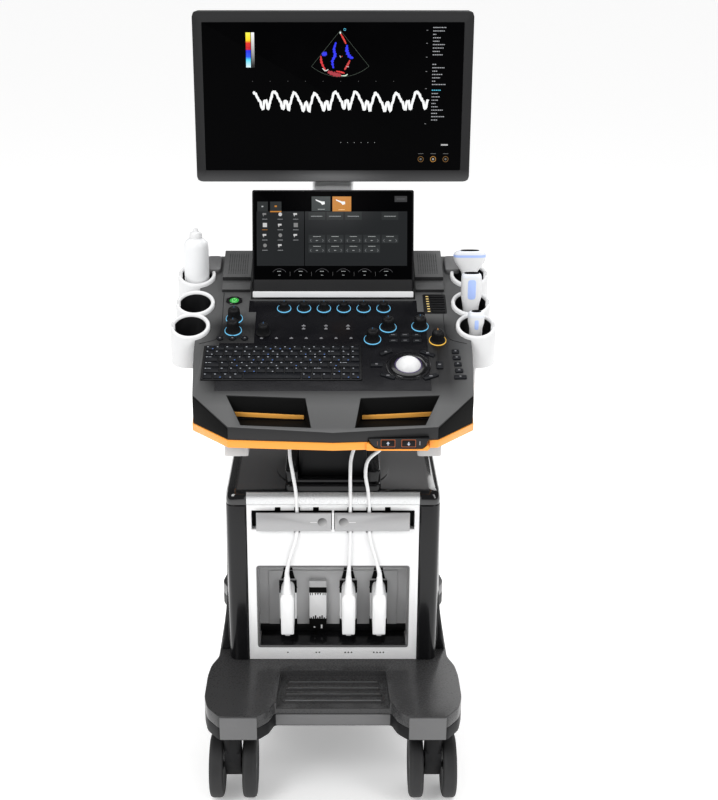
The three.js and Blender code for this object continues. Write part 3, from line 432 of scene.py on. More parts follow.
# Moves a shape from a plane's own directions (across, up the plane, out of it) into the machine.
def onPlane(shape, plane):
    origin, right, up, out = (np.array(v, float) for v in plane)
    points = origin + shape[0][:, :1] * right + shape[0][:, 1:2] * up + shape[0][:, 2:] * out
    return points, shape[1]


def leaning(origin, degrees):
    c, s = math.cos(math.radians(degrees)), math.sin(math.radians(degrees))
    return origin, (1, 0, 0), (0, c, s), (0, -s, c)


deckEdge = {"y": -345, "z": 811.7, "angle": 20}
slope = math.tan(math.radians(deckEdge["angle"]))
ground = ((0, 0, 0), (1, 0, 0), (0, 1, 0), (0, 0, 1))
deck = leaning((0, deckEdge["y"], deckEdge["z"]), deckEdge["angle"])
touchFace = leaning((0, 12, 944), 75)
panelFace = leaning((0, -88, 0), 90)
monitorFace = leaning((0, 95, 0), 90)
rearFace = ((0, 295, 0), (-1, 0, 0), (0, 0, 1), (0, 1, 0))


def deckPoint(along):
    return np.array(deck[0], float) + along * np.array(deck[2])


# Height of the deck's plane above a place y, measured from the floor.
def deckHeight(y):
    return deckEdge["z"] + (y - deckEdge["y"]) * slope


# The two ends of a span on one side of the middle, lower x first.
def span(sign, near, far):
    return sorted((sign * near, sign * far))


# The same shape on the other side of the middle, its faces turned back outwards.
def mirrored(shape):
    return shape[0] * np.array([-1, 1, 1]), [f[::-1] for f in shape[1]]


# Makes the object, in metres, smooth but for edges sharper than the given angle, riding on a body.
def piece(name, shapes, finish, body=None, plane=ground, replaced=(), crease=40, tints=None):
    shapes = [shapes] if isinstance(shapes, tuple) else shapes
    points, faces = onPlane(joined(shapes), plane)
    mesh = bpy.data.meshes.new(name)
    mesh.from_pydata((points * mm).tolist(), [], faces)
    mesh.shade_smooth()
    mesh.set_sharp_from_angle(angle=math.radians(crease))
    mesh.materials.append(finishes[finish])
    if tints is not None:
        colours = []
        for (given, _), tint in zip(shapes, tints):
            colours.append(np.hstack([np.broadcast_to(tint, (len(given), 3)), np.ones((len(given), 1))]))
        layer = mesh.color_attributes.new("tint", "FLOAT_COLOR", "POINT")
        layer.data.foreach_set("color", np.vstack(colours).ravel())
    made = bpy.data.objects.new(name, mesh)
    scene.collection.objects.link(made)
    if replaced:
        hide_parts(*replaced)
    if body:
        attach(made, body)
    return made


# Smooths the CAD meshes without touching them: a small node group sets the shading by edge angle.
def makeSmoother(degrees):
    group = bpy.data.node_groups.new("smoothByEdge", "GeometryNodeTree")
    group.interface.new_socket("Geometry", in_out="INPUT", socket_type="NodeSocketGeometry")
    group.interface.new_socket("Geometry", in_out="OUTPUT", socket_type="NodeSocketGeometry")
    start, end = group.nodes.new("NodeGroupInput"), group.nodes.new("NodeGroupOutput")
    angle = group.nodes.new("GeometryNodeInputMeshEdgeAngle")
    test = group.nodes.new("FunctionNodeCompare")
    test.operation = "LESS_THAN"
    test.inputs[1].default_value = math.radians(degrees)
    faces = group.nodes.new("GeometryNodeSetShadeSmooth")
    edges = group.nodes.new("GeometryNodeSetShadeSmooth")
    faces.domain, edges.domain = "FACE", "EDGE"
    group.links.new(start.outputs[0], faces.inputs[0])
    group.links.new(faces.outputs[0], edges.inputs[0])
    group.links.new(angle.outputs[0], test.inputs[0])
    group.links.new(test.outputs[0], edges.inputs["Shade Smooth"])
    group.links.new(edges.outputs[0], end.inputs[0])
    return group


smoother = makeSmoother(36)


# Gives a CAD node its finish; live modifiers round its edges and smooth its shading.
def dress(node, finish, bevel=0.0):
    made = nodes[node]
    made.data.materials.clear()
    made.data.materials.append(finishes[finish])
    weld = made.modifiers.new("weld", "WELD")
    weld.merge_threshold = 0.02 * mm
    flat = made.modifiers.new("flat", "DECIMATE")
    flat.decimate_type = "DISSOLVE"
    flat.angle_limit = math.radians(0.6)
    if bevel:
        edge = made.modifiers.new("edge", "BEVEL")
        edge.width = bevel * mm
        edge.segments = 3
        edge.limit_method = "ANGLE"
        edge.angle_limit = math.radians(38)
        edge.use_clamp_overlap = True
    smooth = made.modifiers.new("smooth", "NODES")
    smooth.node_group = smoother


# Probe cables

cable = {
    "diameter": 7, "sides": 12,
    "coilY": (102, 125, 148), "coilZ": 688.5,  # middles of the three coils
    "inner": 34.8, "outer": 42.2, "half": 3.7,  # radii of the turns, half the step between two of them
    "deckUnder": 778,  # where the last stretch starts
}
# Routes of the three cables, stage by stage: plug to bar, bar to column, round the column, coil to cup.
cableRise = [
    [(-90.7, -85, 400.6), (-90.7, -86, 407.5), (-89.9, -89.7, 415.5), (-88.6, -92.4, 425), (-81, -92.8, 456),
     (-73, -92.4, 483), (-70.2, -91.4, 500), (-69.5, -89.4, 514), (-69.5, -89.2, 530)],
    [(30.9, -85, 400.6), (30.9, -86, 407.5), (31.1, -89.7, 415.5), (31.6, -92.4, 425), (32.8, -92.8, 456),
     (33.4, -92.4, 483), (33.4, -91.4, 500), (33.4, -89.4, 514), (33.4, -89.2, 530)],
    [(91.7, -85, 400.6), (91.7, -86, 407.5), (90.3, -89.7, 415.5), (88, -92.4, 425), (80, -92.8, 456),
     (73, -92.4, 483), (70.8, -91.4, 500), (70.1, -89.4, 514), (70.1, -89.2, 530)],
]
cableLift = [
    [(-69.5, -89.2, 530), (-69.6, -90.6, 544), (-70, -92.8, 558), (-71.5, -94, 588), (-77, -94, 626),
     (-82, -88, 656), (-82.5, -76, 682), (-81, -52, 702)],
    [(33.4, -89.2, 530), (33.4, -90.6, 544), (33.4, -92.8, 558), (33.3, -94, 588), (33, -94, 626),
     (35, -89, 656), (46, -80, 684), (65, -66, 704)],
    [(70.1, -89.2, 530), (70.1, -90.6, 544), (69.8, -92.8, 558), (67, -95, 590), (62, -96, 626),
     (67, -93, 652), (92, -84, 672), (114, -66, 688)],
]
cableTurn = [
    [(-81, -52, 702), (-78, -14, 712), (-77, 36, 715), (-73, 68, 711), (-58, 86, 704), (-46, 91, 698)],
    [(65, -66, 704), (77, -38, 714), (80, 4, 717), (80, 52, 716), (75, 90, 711), (60, 109, 703),
     (46, 113.5, 697)],
    [(114, -66, 688), (124, -30, 700), (121, 20, 706), (112, 70, 707), (96, 112, 705), (66, 132, 701),
     (46, 136.5, 697)],
]
cableRun = [
    [(46, 97.5, 706), (56, 93, 724), (80, 76, 733), (112, 42, 735), (150, 4, 735), (196, -36, 735.5),
     (232, -64, 736), (252, -75, 742), (262.5, -76.2, 757), (264, -76.2, 778)],
    [(26, 120.6, 731), (54, 117, 732.5), (86, 102, 734), (126, 66, 735), (166, 34, 735), (204, 8, 735.5),
     (230, -5, 736), (248, -8.4, 742), (258.6, -8.6, 757), (260, -8.6, 778)],
    [(26, 143.6, 731), (58, 140, 732.5), (100, 126, 734), (146, 104, 735), (196, 86, 735.5),
     (232, 80, 736), (252, 79.7, 742), (262.5, 79.7, 757), (264, 79.7, 778)],
]
cupPlaces = [(264, 286), (260, 358), (264, 452)]  # across and along the deck, front cup first
cupDepth = 68  # from the deck to the underside
cupFloor = 6.3  # where things stand, above the underside


# Turns laid beside and on each other: inner pair of turns first, then the outer pair, radius and y stepping
# between the four places over a quarter turn.
def coilRoute(y, start, turns, way, perTurn=16):
    t = np.linspace(0, turns, int(turns * perTurn) + 1)
    h, inner, outer = cable["half"], cable["inner"], cable["outer"]
    radius = np.interp(t, [0, 0.3, 1.75, 2.05, 9], [outer + 1.5, inner, inner, outer, outer])
    shift = np.interp(t, [0, 0.28, 0.75, 1.05, 2.7, 3.0, 9], [-11.2, -h, -h, h, h, -h, -h])
    a = math.radians(start) + way * 2 * np.pi * t
    return np.stack([radius * np.cos(a), y + shift, cable["coilZ"] + radius * np.sin(a)], 1)


# One stretch of a cable as its own piece, and its route in metres.
def cableStretch(name, points, perLeg=6):
    route = smoothRoute(points, perLeg)
    made = piece(name, pipe(route, cable["diameter"] / 2, cable["sides"]), "jacket")
    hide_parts(name[:-2])
    return made, route * mm


def declare(route):
    length = float(np.sum(np.linalg.norm(np.diff(route, axis=0), axis=1)))
    return length


for i in range(3):
    name = f"probe_cable_{i + 1}"
    total = 0
    made, route = cableStretch(name + "_a", cableRise[i])
    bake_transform(made)
    total += declare(route)
    made, route = cableStretch(name + "_b", cableLift[i])
    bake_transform(made)
    total += declare(route)
    made, route = cableStretch(name + "_c", cableTurn[i])
    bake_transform(made)
    total += declare(route)
    wound = coilRoute(cable["coilY"][i], *((180, 3.5, 1) if i == 0 else (0, 3.75, -1)))
    made, route = cableStretch(name + "_d", [*map(tuple, wound), *cableRun[i]], 4)
    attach(made, "console")
    total += declare(route)
    x, along = cupPlaces[i]
    y, foot = deckPoint(along)[1], deckPoint(along)[2] - cupDepth + 7
    last = np.stack([np.full(9, x), np.full(9, y), np.linspace(cable["deckUnder"], foot, 9)], 1)
    made, route = cableStretch(name + "_e", [tuple(p) for p in last])
    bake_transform(made)
    total += declare(route)
    print(name, "is", round(total, 3), "m long")

# Floor and light

room = {"floor": 60, "pale": (0.9, 0.9, 0.9), "own": 0.27, "seen": 1.0, "lit": 0.8, "glossy": 0.1}
floorMesh = bpy.data.meshes.new("floor")
half = room["floor"] / 2
floorMesh.from_pydata([(-half, -half, 0), (half, -half, 0), (half, half, 0), (-half, half, 0)], [],
                      [(0, 1, 2, 3)])
shade = Shade("pale floor")
speck = shade.mix(shade.noise(60, 2), shaded(room["pale"], 0.99), room["pale"])
floorMesh.materials.append(shade.surface(Base_Color=speck, Roughness=0.9, Specular_IOR_Level=0.1,
                                         Emission_Color=(1, 1, 1), Emission_Strength=room["own"]))
floor = bpy.data.objects.new("floor", floorMesh)
scene.collection.objects.link(floor)

# The sky is white to look at, softer as light, and dim in reflections so that glass stays black.
world = bpy.data.worlds.new("studio")
world.use_nodes = True
tree = world.node_tree
tree.nodes.clear()
rays = tree.nodes.new("ShaderNodeLightPath")
skies = {}
for kind in ("seen", "lit", "glossy"):
    skies[kind] = tree.nodes.new("ShaderNodeBackground")
    skies[kind].inputs[0].default_value = (1, 1, 1, 1)
    skies[kind].inputs[1].default_value = room[kind]
first, second = tree.nodes.new("ShaderNodeMixShader"), tree.nodes.new("ShaderNodeMixShader")
tree.links.new(rays.outputs["Is Glossy Ray"], first.inputs[0])
tree.links.new(skies["lit"].outputs[0], first.inputs[1])
tree.links.new(skies["glossy"].outputs[0], first.inputs[2])
tree.links.new(rays.outputs["Is Camera Ray"], second.inputs[0])
tree.links.new(first.outputs[0], second.inputs[1])
tree.links.new(skies["seen"].outputs[0], second.inputs[2])
sky = tree.nodes.new("ShaderNodeOutputWorld")
tree.links.new(second.outputs[0], sky.inputs[0])
scene.world = world
scene.view_settings.view_transform = "Standard"
scene.view_settings.gamma = 0.88


# Turns a lamp, which shines down its own z axis, from where it is to a point.
def aim(made, at, to):
    way = np.array(to) - np.array(at)
    made.location = at
    made.rotation_euler = (math.atan2(np.hypot(way[0], way[1]), -way[2]), 0, math.atan2(-way[0], way[1]))


lamps = {
    "key": {"at": (-2.2, -2.6, 3.2), "to": (0, 0, 0.7), "size": (1.6, 1.6), "power": 55},
    "fill": {"at": (2.6, -2.2, 2.2), "to": (0, 0, 0.7), "size": (1.2, 2.2), "power": 30},
    "top": {"at": (0, 0.4, 3.6), "to": (0, 0, 0.5), "size": (2.4, 1.6), "power": 40},
    "rear": {"at": (1.6, 2.8, 2.6), "to": (0, 0, 0.8), "size": (2, 2), "power": 30},
}
for name, lamp in lamps.items():
    data = bpy.data.lights.new(name, "AREA")
    data.shape = "RECTANGLE"
    data.size, data.size_y = lamp["size"]
    data.energy = lamp["power"]
    made = bpy.data.objects.new(name, data)
    aim(made, lamp["at"], lamp["to"])
    scene.collection.objects.link(made)

# A narrow lamp for the neck between the two screens.
glint = {"at": (0, -2.3, 1.98), "to": (0, 0.16, 1.142), "cone": 4.5, "power": 90}
data = bpy.data.lights.new("neck_glint", "SPOT")
data.energy = glint["power"]
data.spot_size = math.radians(glint["cone"])
data.spot_blend = 1.0
data.shadow_soft_size = 0.05
made = bpy.data.objects.new("neck_glint", data)
aim(made, glint["at"], glint["to"])
scene.collection.objects.link(made)
print("room ready")

# CAD nodes that keep their shape

for node, finish, bevel in [
    ("base_frame", "softBlack", 3), ("base_cover", "baseTop", 3.5), ("cabinet_frame", "steel", 0),
    ("left_side_cover", "gloss", 4), ("right_side_cover", "gloss", 4), ("rear_cover", "darkGrey", 1),
    ("top_cover", "lid", 4), ("front_panel", "silver", 0.8), ("connector_bay", "bayGrey", 0),
    ("socket_board", "bayGrey", 0.6), ("column_sleeve", "gloss", 2.5), ("lift_column", "softBlack", 1.5),
    ("console_tray", "darkGrey", 1), ("console_cover", "deckGrey", 1.6), ("orange_trim", "orange", 1.2),
    ("switch_pod", "gloss", 0.8), ("control_glass", "glass", 0), ("keyboard", "softBlack", 0.5),
    ("lift_up_button", "softBlack", 0.6), ("lift_down_button", "softBlack", 0.6),
    ("cable_bar_left", "midGrey", 0.7), ("cable_bar_right", "midGrey", 0.7), ("power_button", "green", 0.4),
    ("touch_screen", "bezel", 2), ("monitor_neck", "neckMetal", 3), ("monitor", "bezel", 3),
]:
    dress(node, finish, bevel)
for end in ("front", "rear"):
    for side in sides:
        dress(f"castor_fork_{end}_{side}", "softBlack", 1.5)
print("CAD nodes dressed")

# Castors

castor = {"radius": 62.5, "half": 13.5, "apart": 32, "axle": 5.5, "x": 193, "y": {"front": -225, "rear": 291}}


# Lays a turned shape on its side, its axis along x, at the height of the axle.
def onAxle(shape, x, y):
    return onPlane(shape, ((x, y, castor["radius"]), (0, 0, 1), (0, 1, 0), (-1, 0, 0)))


def castorWheel(x, y):
    r, h = castor["radius"], castor["half"]
    tyre = [(r - 13, -h), (r - 7, -h), (r - 2.5, -h + 1.6), (r - 0.5, -h + 4.5), (r, -h + 8), (r, h - 8),
            (r - 0.5, h - 4.5), (r - 2.5, h - 1.6), (r - 7, h), (r - 13, h)]
    hub = [(0, -h + 2), (9, -h + 2), (11, -h + 4), (30, -h + 5.5), (r - 17, -h + 2.5), (r - 14.5, -h + 0.6),
           (r - 13, -h + 0.4), (r - 13, h - 0.4), (r - 14.5, h - 0.6), (r - 17, h - 2.5), (30, h - 5.5),
           (11, h - 4), (9, h - 2), (0, h - 2)]
    return [onAxle(turned(profile, count=48), x, y) for profile in (tyre, hub)]


for end, y in castor["y"].items():
    for side, sign in sides.items():
        body, node = f"wheels_{end}_{side}", f"castor_wheels_{end}_{side}"
        pair = [castorWheel(sign * castor["x"] + k * castor["apart"], y) for k in (-1, 1)]
        piece(f"castor_tyres_{end}_{side}", [p[0] for p in pair], "tyre", body,
              replaced=[node])
        r, half = castor["axle"], castor["apart"]
        axle = onAxle(turned([(0, -half), (r, -half), (r, half), (0, half)]), sign * castor["x"], y)
        piece(f"castor_hubs_{end}_{side}", [p[1] for p in pair] + [axle], "darkGrey", body,
              replaced=[node])
print("castors ready")

# Base: satin front faces, and steel rods on the tread ribs as painted highlights

basePlates = {
    "front": -295, "bar": -245,  # where the legs and the bar between them end
    "low": 166, "high": 213.5, "barHigh": 189.5, "proud": 1.4, "inside": 143, "outside": 213,
}
for side, sign in sides.items():
    x0, x1 = span(sign, basePlates["inside"], basePlates["outside"])
    face = slab(oblong(x0, basePlates["low"], x1, basePlates["high"], 2), -1, basePlates["proud"], 1)
    piece(f"leg_face_{side}", face, "satinGrey", "cabinet",
          leaning((0, basePlates["front"], 0), 90))
face = slab(oblong(-110, basePlates["low"], 110, basePlates["barHigh"], 1.5), -1, basePlates["proud"], 1)
piece("bar_face", face, "satinGrey", "cabinet", leaning((0, basePlates["bar"], 0), 90))

# Painted highlights: a thin steel rod along the top of each tread rib, where the rib edges catch the light.
tread = {"rear": -156, "pitch": 22, "half": 86, "grow": 2, "z": 205.4, "radius": 0.9}
treadHighlightRods = []
for i in range(4):
    half = tread["half"] + tread["grow"] * i
    y = float(tread["rear"] - tread["pitch"] * i)
    line = np.stack([np.linspace(-half, half, 24), np.full(24, y), np.full(24, tread["z"])], 1)
    treadHighlightRods.append(pipe(line, tread["radius"], 8))
piece("column_foot", slab(oblong(-93, -84.5, 93, -40, 12), 583, 598, 5, 5), "gloss", "cabinet")
piece("tread_highlight_rods", treadHighlightRods, "steel", "cabinet")

# Front panel

band = {"low": 557.4, "bend": 567, "high": 583.4, "back": -89.2, "front": -92.6, "end": -86.6, "half": 167.2}
t = np.linspace(0, np.pi / 2, 11)
bendY = band["front"] + (band["end"] - band["front"]) * (1 - np.cos(t))
bendZ = band["bend"] + (band["high"] - band["bend"]) * np.sin(t)
section = np.vstack([[(band["back"], band["low"]), (band["front"] + 1, band["low"] + 2)],
                     np.stack([bendY, bendZ], 1)])
under = section[::-1] + np.array([1.6, -1.1])
bandLoop = np.vstack([section, under])[::-1]
piece("panel_band", slab(bandLoop, -band["half"], band["half"]), "bandSilver", "cabinet",
      ((0, 0, 0), (0, 1, 0), (0, 0, 1), (1, 0, 0)))


# Outlines at given heights, each joined to the next and the last to the first.
def ringed(rings):
    grid = np.stack([np.hstack([flat, np.full((len(flat), 1), float(z))]) for flat, z in rings])
    points, faces = gridShape(grid, closeU=True, closeV=True)
    return points, [f[::-1] for f in faces]


# A raised frame between two outlines, flat on top with both edges a little lower.
def rim(outer, inner, low, high, edge=0.6):
    into, away = mitres(outer) * edge, mitres(inner) * edge
    return ringed([(outer, low), (outer, high - edge), (outer - into, high), (inner + away, high),
                   (inner, high - edge), (inner, low)])


# Recess for the sockets: its outline, and the planes that its pieces stand on.
bay = {"half": 149, "low": 246, "high": 424, "board": -26.3, "back": -24, "contact": -38.2}
outer = oblong(-bay["half"] - 1.6, bay["low"] - 2, bay["half"] + 1.6, bay["high"] + 2, 6)
inner = oblong(-bay["half"] + 1.6, bay["low"] + 1.4, bay["half"] - 1.6, bay["high"] - 1.4, 4)
piece("bay_rim", rim(outer, inner, -2, 1.2), "satinGrey", "cabinet", panelFace)
plugX = (-90.7, 30.9, 91.7)
empty = -30.5
socketX = (-90.7, empty, 30.9, 91.7)
# Painted shadows of the plug boots on the bay board: a black trapezoid behind each boot, narrowing upwards,
# and a smaller one above it, set back a little.
bootShadows = []
for x in plugX:
    bootShadows.append(slab(rounded([(x - 18.5, 345), (x + 18.5, 345), (x + 9.5, 383.6), (x - 9.5, 383.6)]),
                           -0.5, 0.5))
    bootShadows.append(slab(rounded([(x - 9.5, 383), (x + 9.5, 383), (x + 7.5, 400), (x - 7.5, 400)]),
                           -2.4, -1.6))
piece("bay_boot_shadows", bootShadows, "slotBlack", "cabinet", leaning((0, bay["board"], 0), 90))
# Painted shade in the bottom of the bay: a gloss black pan with small ridges over its floor, and a black band
# along the foot of its back wall.
floorShadePan = [slab(oblong(-146, -86, 146, -25, 3), 246.4, 247.6, 0.6)]
floorShadePan += [tile(x + 9, -80, x + 10.4, -30, 247.5, 248.2) for x in socketX]
piece("bay_floor_shade", floorShadePan, "gloss", "cabinet")
piece("bay_back_shade", slab(oblong(-148, 247, 148, 262, 2), -1, 3.2, 1), "softBlack", "cabinet",
      leaning((0, bay["back"], 0), 90))

# Each socket: a pale frame with a black block over it and another below.
socket = {"half": 17.2, "blockHalf": 17.6, "foot": 258.5, "low": 281, "high": 340, "top": 366.6,
          "openTop": 352.5}
socketFrames, socketFeet = [], []
for x in socketX:
    half, wide = socket["half"], socket["blockHalf"]
    top = socket["openTop"] if x == empty else socket["top"]
    socketFrames.append(slab(oblong(x - half, socket["low"], x + half, socket["high"], 1.5), -3, 0.8, 0.6))
    socketFeet.append(slab(oblong(x - wide, socket["high"], x + wide, top, 1), -3, 0.5, 0.3))
    socketFeet.append(slab(oblong(x - wide, socket["foot"], x + wide, socket["low"], 1), -13.5, 1.2, 0.5))
contact = leaning((0, bay["contact"], 0), 90)
piece("socket_frames", socketFrames, "plugWhite", "cabinet", contact)
piece("socket_feet", socketFeet, "slotBlack", "cabinet", contact)

# The socket that has no plug: a hood over it, contacts round its face and a latch below.
hood = slab(oblong(empty - 17.4, 352.3, empty + 17.4, 366.5, 1), -3, 0.5, 0.3)
piece("empty_socket_hood", hood, "bayGrey", "cabinet", contact)
pins = []
for d in (-5, 0, 5):
    pins.append(slab(rounded([(empty + d - 1.6, 339.5), (empty + d, 334.5), (empty + d + 1.6, 339.5)]),
                     0.6, 1.3))
pins += [tile(empty + d, 335, empty + d + 1.4, 339.8, 0.6, 1.3) for d in (-15.5, -11.5, 9.8, 13.8)]
pins += [tile(empty - 15 + 4.4 * k, 280.6, empty - 12.4 + 4.4 * k, 284 + 2.4 * (k % 3), 0.6, 1.4)
         for k in range(7)]
piece("empty_socket_pins", pins, "slotBlack", "cabinet", contact)
latch = [tile(empty - 9, 261, empty - 5.5, 264, 1, 1.8), tile(empty + 5.6, 259.5, empty + 9, 268, 1, 1.8)]
piece("empty_socket_latch", latch, "white", "cabinet", contact)

# Counting dots under each socket instead of names.
dots = []
for n, x in enumerate(socketX):
    dots += [slab(circle(x - 3.2 * n + 6.4 * k, 232, 1.5, 12), 0, 0.25) for k in range(n + 1)]
piece("socket_dots", dots, "print", "cabinet", panelFace,
      tints=[(0.02, 0.02, 0.02)] * len(dots))

# Black sheets of painted shade at the backs of the two slots that the cable bars slide in and of the notches
# over them, and the post between them.
slot = {"near": 1.6, "far": 157.9, "low": 504.6, "high": 544.4}
notch = {"half": 5.4, "low": 497.6, "high": 551.4}
notchX = (-107, -69.5, -33, 33.4, 70.1, 106)
slotShadeBacks = []
for sign in sides.values():
    x0, x1 = span(sign, slot["near"], slot["far"])
    slotShadeBacks.append(slab(oblong(x0, slot["low"], x1, slot["high"]), -16.8, -15.8))
slotShadeBacks += [tile(x - notch["half"], notch["low"], x + notch["half"], notch["high"], -16.9, -15.6)
              for x in notchX]
piece("slot_shade_backs", slotShadeBacks, "slotBlack", "cabinet", panelFace)
ends = [tile(x - notch["half"], 497.4, x + notch["half"], 504.2, -14, -0.2) for x in (-107, -33, 106)]
post = slab(oblong(-2.1, slot["low"] - 1, 2.1, slot["high"] + 1, 1), -15, 10.4, 0.6)
piece("slot_divider", [post, *ends], "silver", "cabinet", panelFace)

# A short line and a shaded finger dimple on each cable bar; the dimple's tint is painted shading that runs
# across it, darker at the upper left and lighter at the lower right.
dimple = {"x": 20.5, "z": 524.5, "radii": (0, 3, 6, 8.2, 8.9, 9.2),
          "heights": (11, 11, 11.05, 11.3, 11.2, 10.6)}
for side, sign in sides.items():
    x0, x1 = span(sign, 31, 44)
    mark = slab(oblong(x0, 524, x1, 525.2, 0.5), 10.6, 11.1)
    piece(f"bar_mark_{side}", mark, "print", f"cable_bar_{side}", panelFace,
          tints=[(0.8, 0.8, 0.8)])
    a, r = np.linspace(0, 2 * np.pi, 32, endpoint=False)[:, None], np.array(dimple["radii"])
    x, z = sign * dimple["x"], dimple["z"]
    grid = np.stack([x + r * np.cos(a), z + r * np.sin(a), np.array(dimple["heights"]) + 0 * a], -1)
    dish = welded(gridShape(grid, closeU=True))
    # painted shading of the hollow: lighter towards the lower right, darker towards the upper left
    turn = (dish[0][:, 0] - x) * 0.5 - (dish[0][:, 1] - z) * 0.86
    dimpleShading = np.clip(0.3 + 0.026 * turn, 0.08, 0.6)[:, None] * np.ones(3)
    piece(f"bar_dimple_{side}", [dish], "print", f"cable_bar_{side}", panelFace,
          tints=[dimpleShading])
print("front panel ready")

# Plugs with ribbed boots

plug = {"half": 12.8, "low": 275, "high": 366, "shoulder": 357, "bootFoot": 360, "bootTop": 402}
for i, x in enumerate(plugX):
    half, shoulder, name = plug["half"], plug["shoulder"], f"plug_{i + 1}"
    node, foot, top = f"probe_{name}", plug["bootFoot"], plug["bootTop"]
    flat = [(x - half, plug["low"], 3), (x + half, plug["low"], 3), (x + half + 0.8, shoulder, 6),
            (x + 9, plug["high"], 4), (x - 9, plug["high"], 4), (x - half - 0.8, shoulder, 6)]
    body = slab(rounded(flat), -49.6, 8, 4, 5)
    grip = slab(oblong(x - half + 3, plug["low"] + 3, x + half - 3, shoulder - 4, 4), 7.6, 9, 1)
    z = np.linspace(foot, top, 56)  # the boot tapers, with shallow ribs above its first few millimetres
    r = np.interp(z, [foot, top], [9.6, 5.4]) - 0.35 * (np.cos((z - foot - 6) * 0.9) > 0.2) * (z > foot + 7)
    boot = turned([(0, foot), *zip(r, z), (4.2, top + 0.5), (4.2, top - 1)], x, -85, 24)
    along = smoothRoute(cableRise[i][:4], 6)
    sleeve = pipe(along, np.linspace(5.2, 3.9, len(along)), 20)
    shell = [onPlane(body, panelFace), onPlane(grip, panelFace), boot, sleeve]
    piece(f"plug_shell_{i + 1}", shell, "plugWhite", name, replaced=[node])
    lever = [slab(oblong(x - half - 1.4, 300, x - half + 0.4, 352, 0.6), -38, -10, 0.4),
             slab(oblong(x + half - 0.4, 300, x + half + 1.4, 352, 0.6), -38, -10, 0.4),
             slab(oblong(x - 5, 272, x + 5, 276, 1), -20, 5, 1)]
    piece(f"plug_latch_{i + 1}", lever, "bayGrey", name, panelFace, replaced=[node])
    nose = slab(oblong(x - 11, 276, x + 11, 356, 2), -56, -49)
    piece(f"plug_nose_{i + 1}", nose, "steel", name, panelFace, replaced=[node])
print("plugs ready")

# Console shell details

# Black panel on each slanted front corner, between the trim and the deck.
sideFacet = {"front": (178, -338), "rear": (245, -258), "low": 792.5}
for side, sign in sides.items():
    (xa, ya), (xb, yb) = sideFacet["front"], sideFacet["rear"]
    length = math.hypot(xb - xa, yb - ya)
    right = np.array([(xb - xa) / length, (yb - ya) / length, 0])
    outward = np.array([right[1], -right[0], 0])
    low = sideFacet["low"]
    flat = np.array([(1.5, low), (length - 1, low), (length - 1, deckHeight(yb) - 2.5),
                     (1.5, deckHeight(ya) - 2.5)])
    shape = onPlane(slab(flat, -0.5, 0.9, 0.5), ((xa, ya, 0), right, (0, 0, 1), outward))
    if sign < 0:
        shape = mirrored(shape)
    piece(f"corner_panel_{side}", shape, "slotBlack", "console")

# Lining of the hand-holds: walls from the floor to just under the deck, then an orange strip.
holdPlan = [(37, -340), (157, -333.5), (186, -259), (48, -266)]
hold = {"floor": 800.7, "stripFrom": (50.5, -267.6), "stripTo": (183, -261)}
for side, sign in sides.items():
    flat = rounded([(x, y, 4) for x, y in holdPlan], 4)
    flat = flat - mitres(flat) * 0.7
    rise = deckHeight(flat[:, 1]) - 1.2
    low = np.hstack([flat, np.full((len(flat), 1), hold["floor"])])
    high = np.hstack([flat, rise[:, None]])
    points, faces = gridShape(np.stack([high, low]), closeV=True)
    faces.append(tuple(range(len(flat), 2 * len(flat))))
    way = np.array(hold["stripTo"]) - np.array(hold["stripFrom"])
    far = np.linalg.norm(way)
    right = way / far
    plane = ((*hold["stripFrom"], 0), (*right, 0), (0, 0, 1), (right[1], -right[0], 0))
    strip = onPlane(slab(rounded([(0, 801, 1), (far, 805.5, 1), (far, 813.5, 1), (0, 809, 1)]),
                         -1, 1.4, 0.5), plane)
    floorLip = onPlane(slab(oblong(0, 800.8, far, 802.4, 0.4), -1, 3, 0.5), plane)
    lining = (points, faces)
    if sign < 0:
        lining, strip, floorLip = mirrored(lining), mirrored(strip), mirrored(floorLip)
    made = piece(f"hand_hold_lining_{side}", [lining], "slotBlack", "console")
    wall = made.modifiers.new("wall", "SOLIDIFY")
    wall.thickness = 0.4 * mm
    wall.offset = -1
    piece(f"hand_hold_strip_{side}", [strip], "holdOrange", "console")
    piece(f"hand_hold_lip_{side}", [floorLip], "gloss", "console")

# Speaker holes and the ears behind the cups on the deck, cable hooks under the console.
speaker = {"x0": 166, "x1": 205, "a0": 443, "a1": 513, "pitch": 4.4, "hole": 1.1}
ear = {"near": 218, "far": 247, "front": 462, "rear": 512}
hook = {"near": 147.4, "far": 188.6, "front": -294.6, "rear": -204, "low": 743.2, "plate": 750, "lip": 764.6}
for side, sign in sides.items():
    across = np.arange(speaker["x0"], speaker["x1"], speaker["pitch"])
    along = np.arange(speaker["a0"], speaker["a1"], speaker["pitch"])
    holes = [slab(circle(sign * x, a, speaker["hole"], 8), 13.8, 14.15) for x in across for a in along]
    piece(f"speaker_holes_{side}", holes, "softBlack", "console", deck)
    x0, x1 = span(sign, ear["near"], ear["far"])
    pad = slab(oblong(x0, ear["front"], x1, ear["rear"], 8), -1, 9, 3, 4)
    piece(f"cup_ear_{side}", pad, "satinGrey", "console", deck)
    x0, x1 = span(sign, hook["near"], hook["far"])
    arm = slab(oblong(x0, hook["front"] + 2, x1, hook["rear"], 5), hook["low"], hook["plate"], 1.5, 4)
    lip = slab(oblong(x0, hook["front"], x1, hook["front"] + 11.6, 5.6), hook["low"], hook["lip"], 3, 5)
    piece(f"cable_hook_{side}", [arm, lip], "bayGrey", "console")

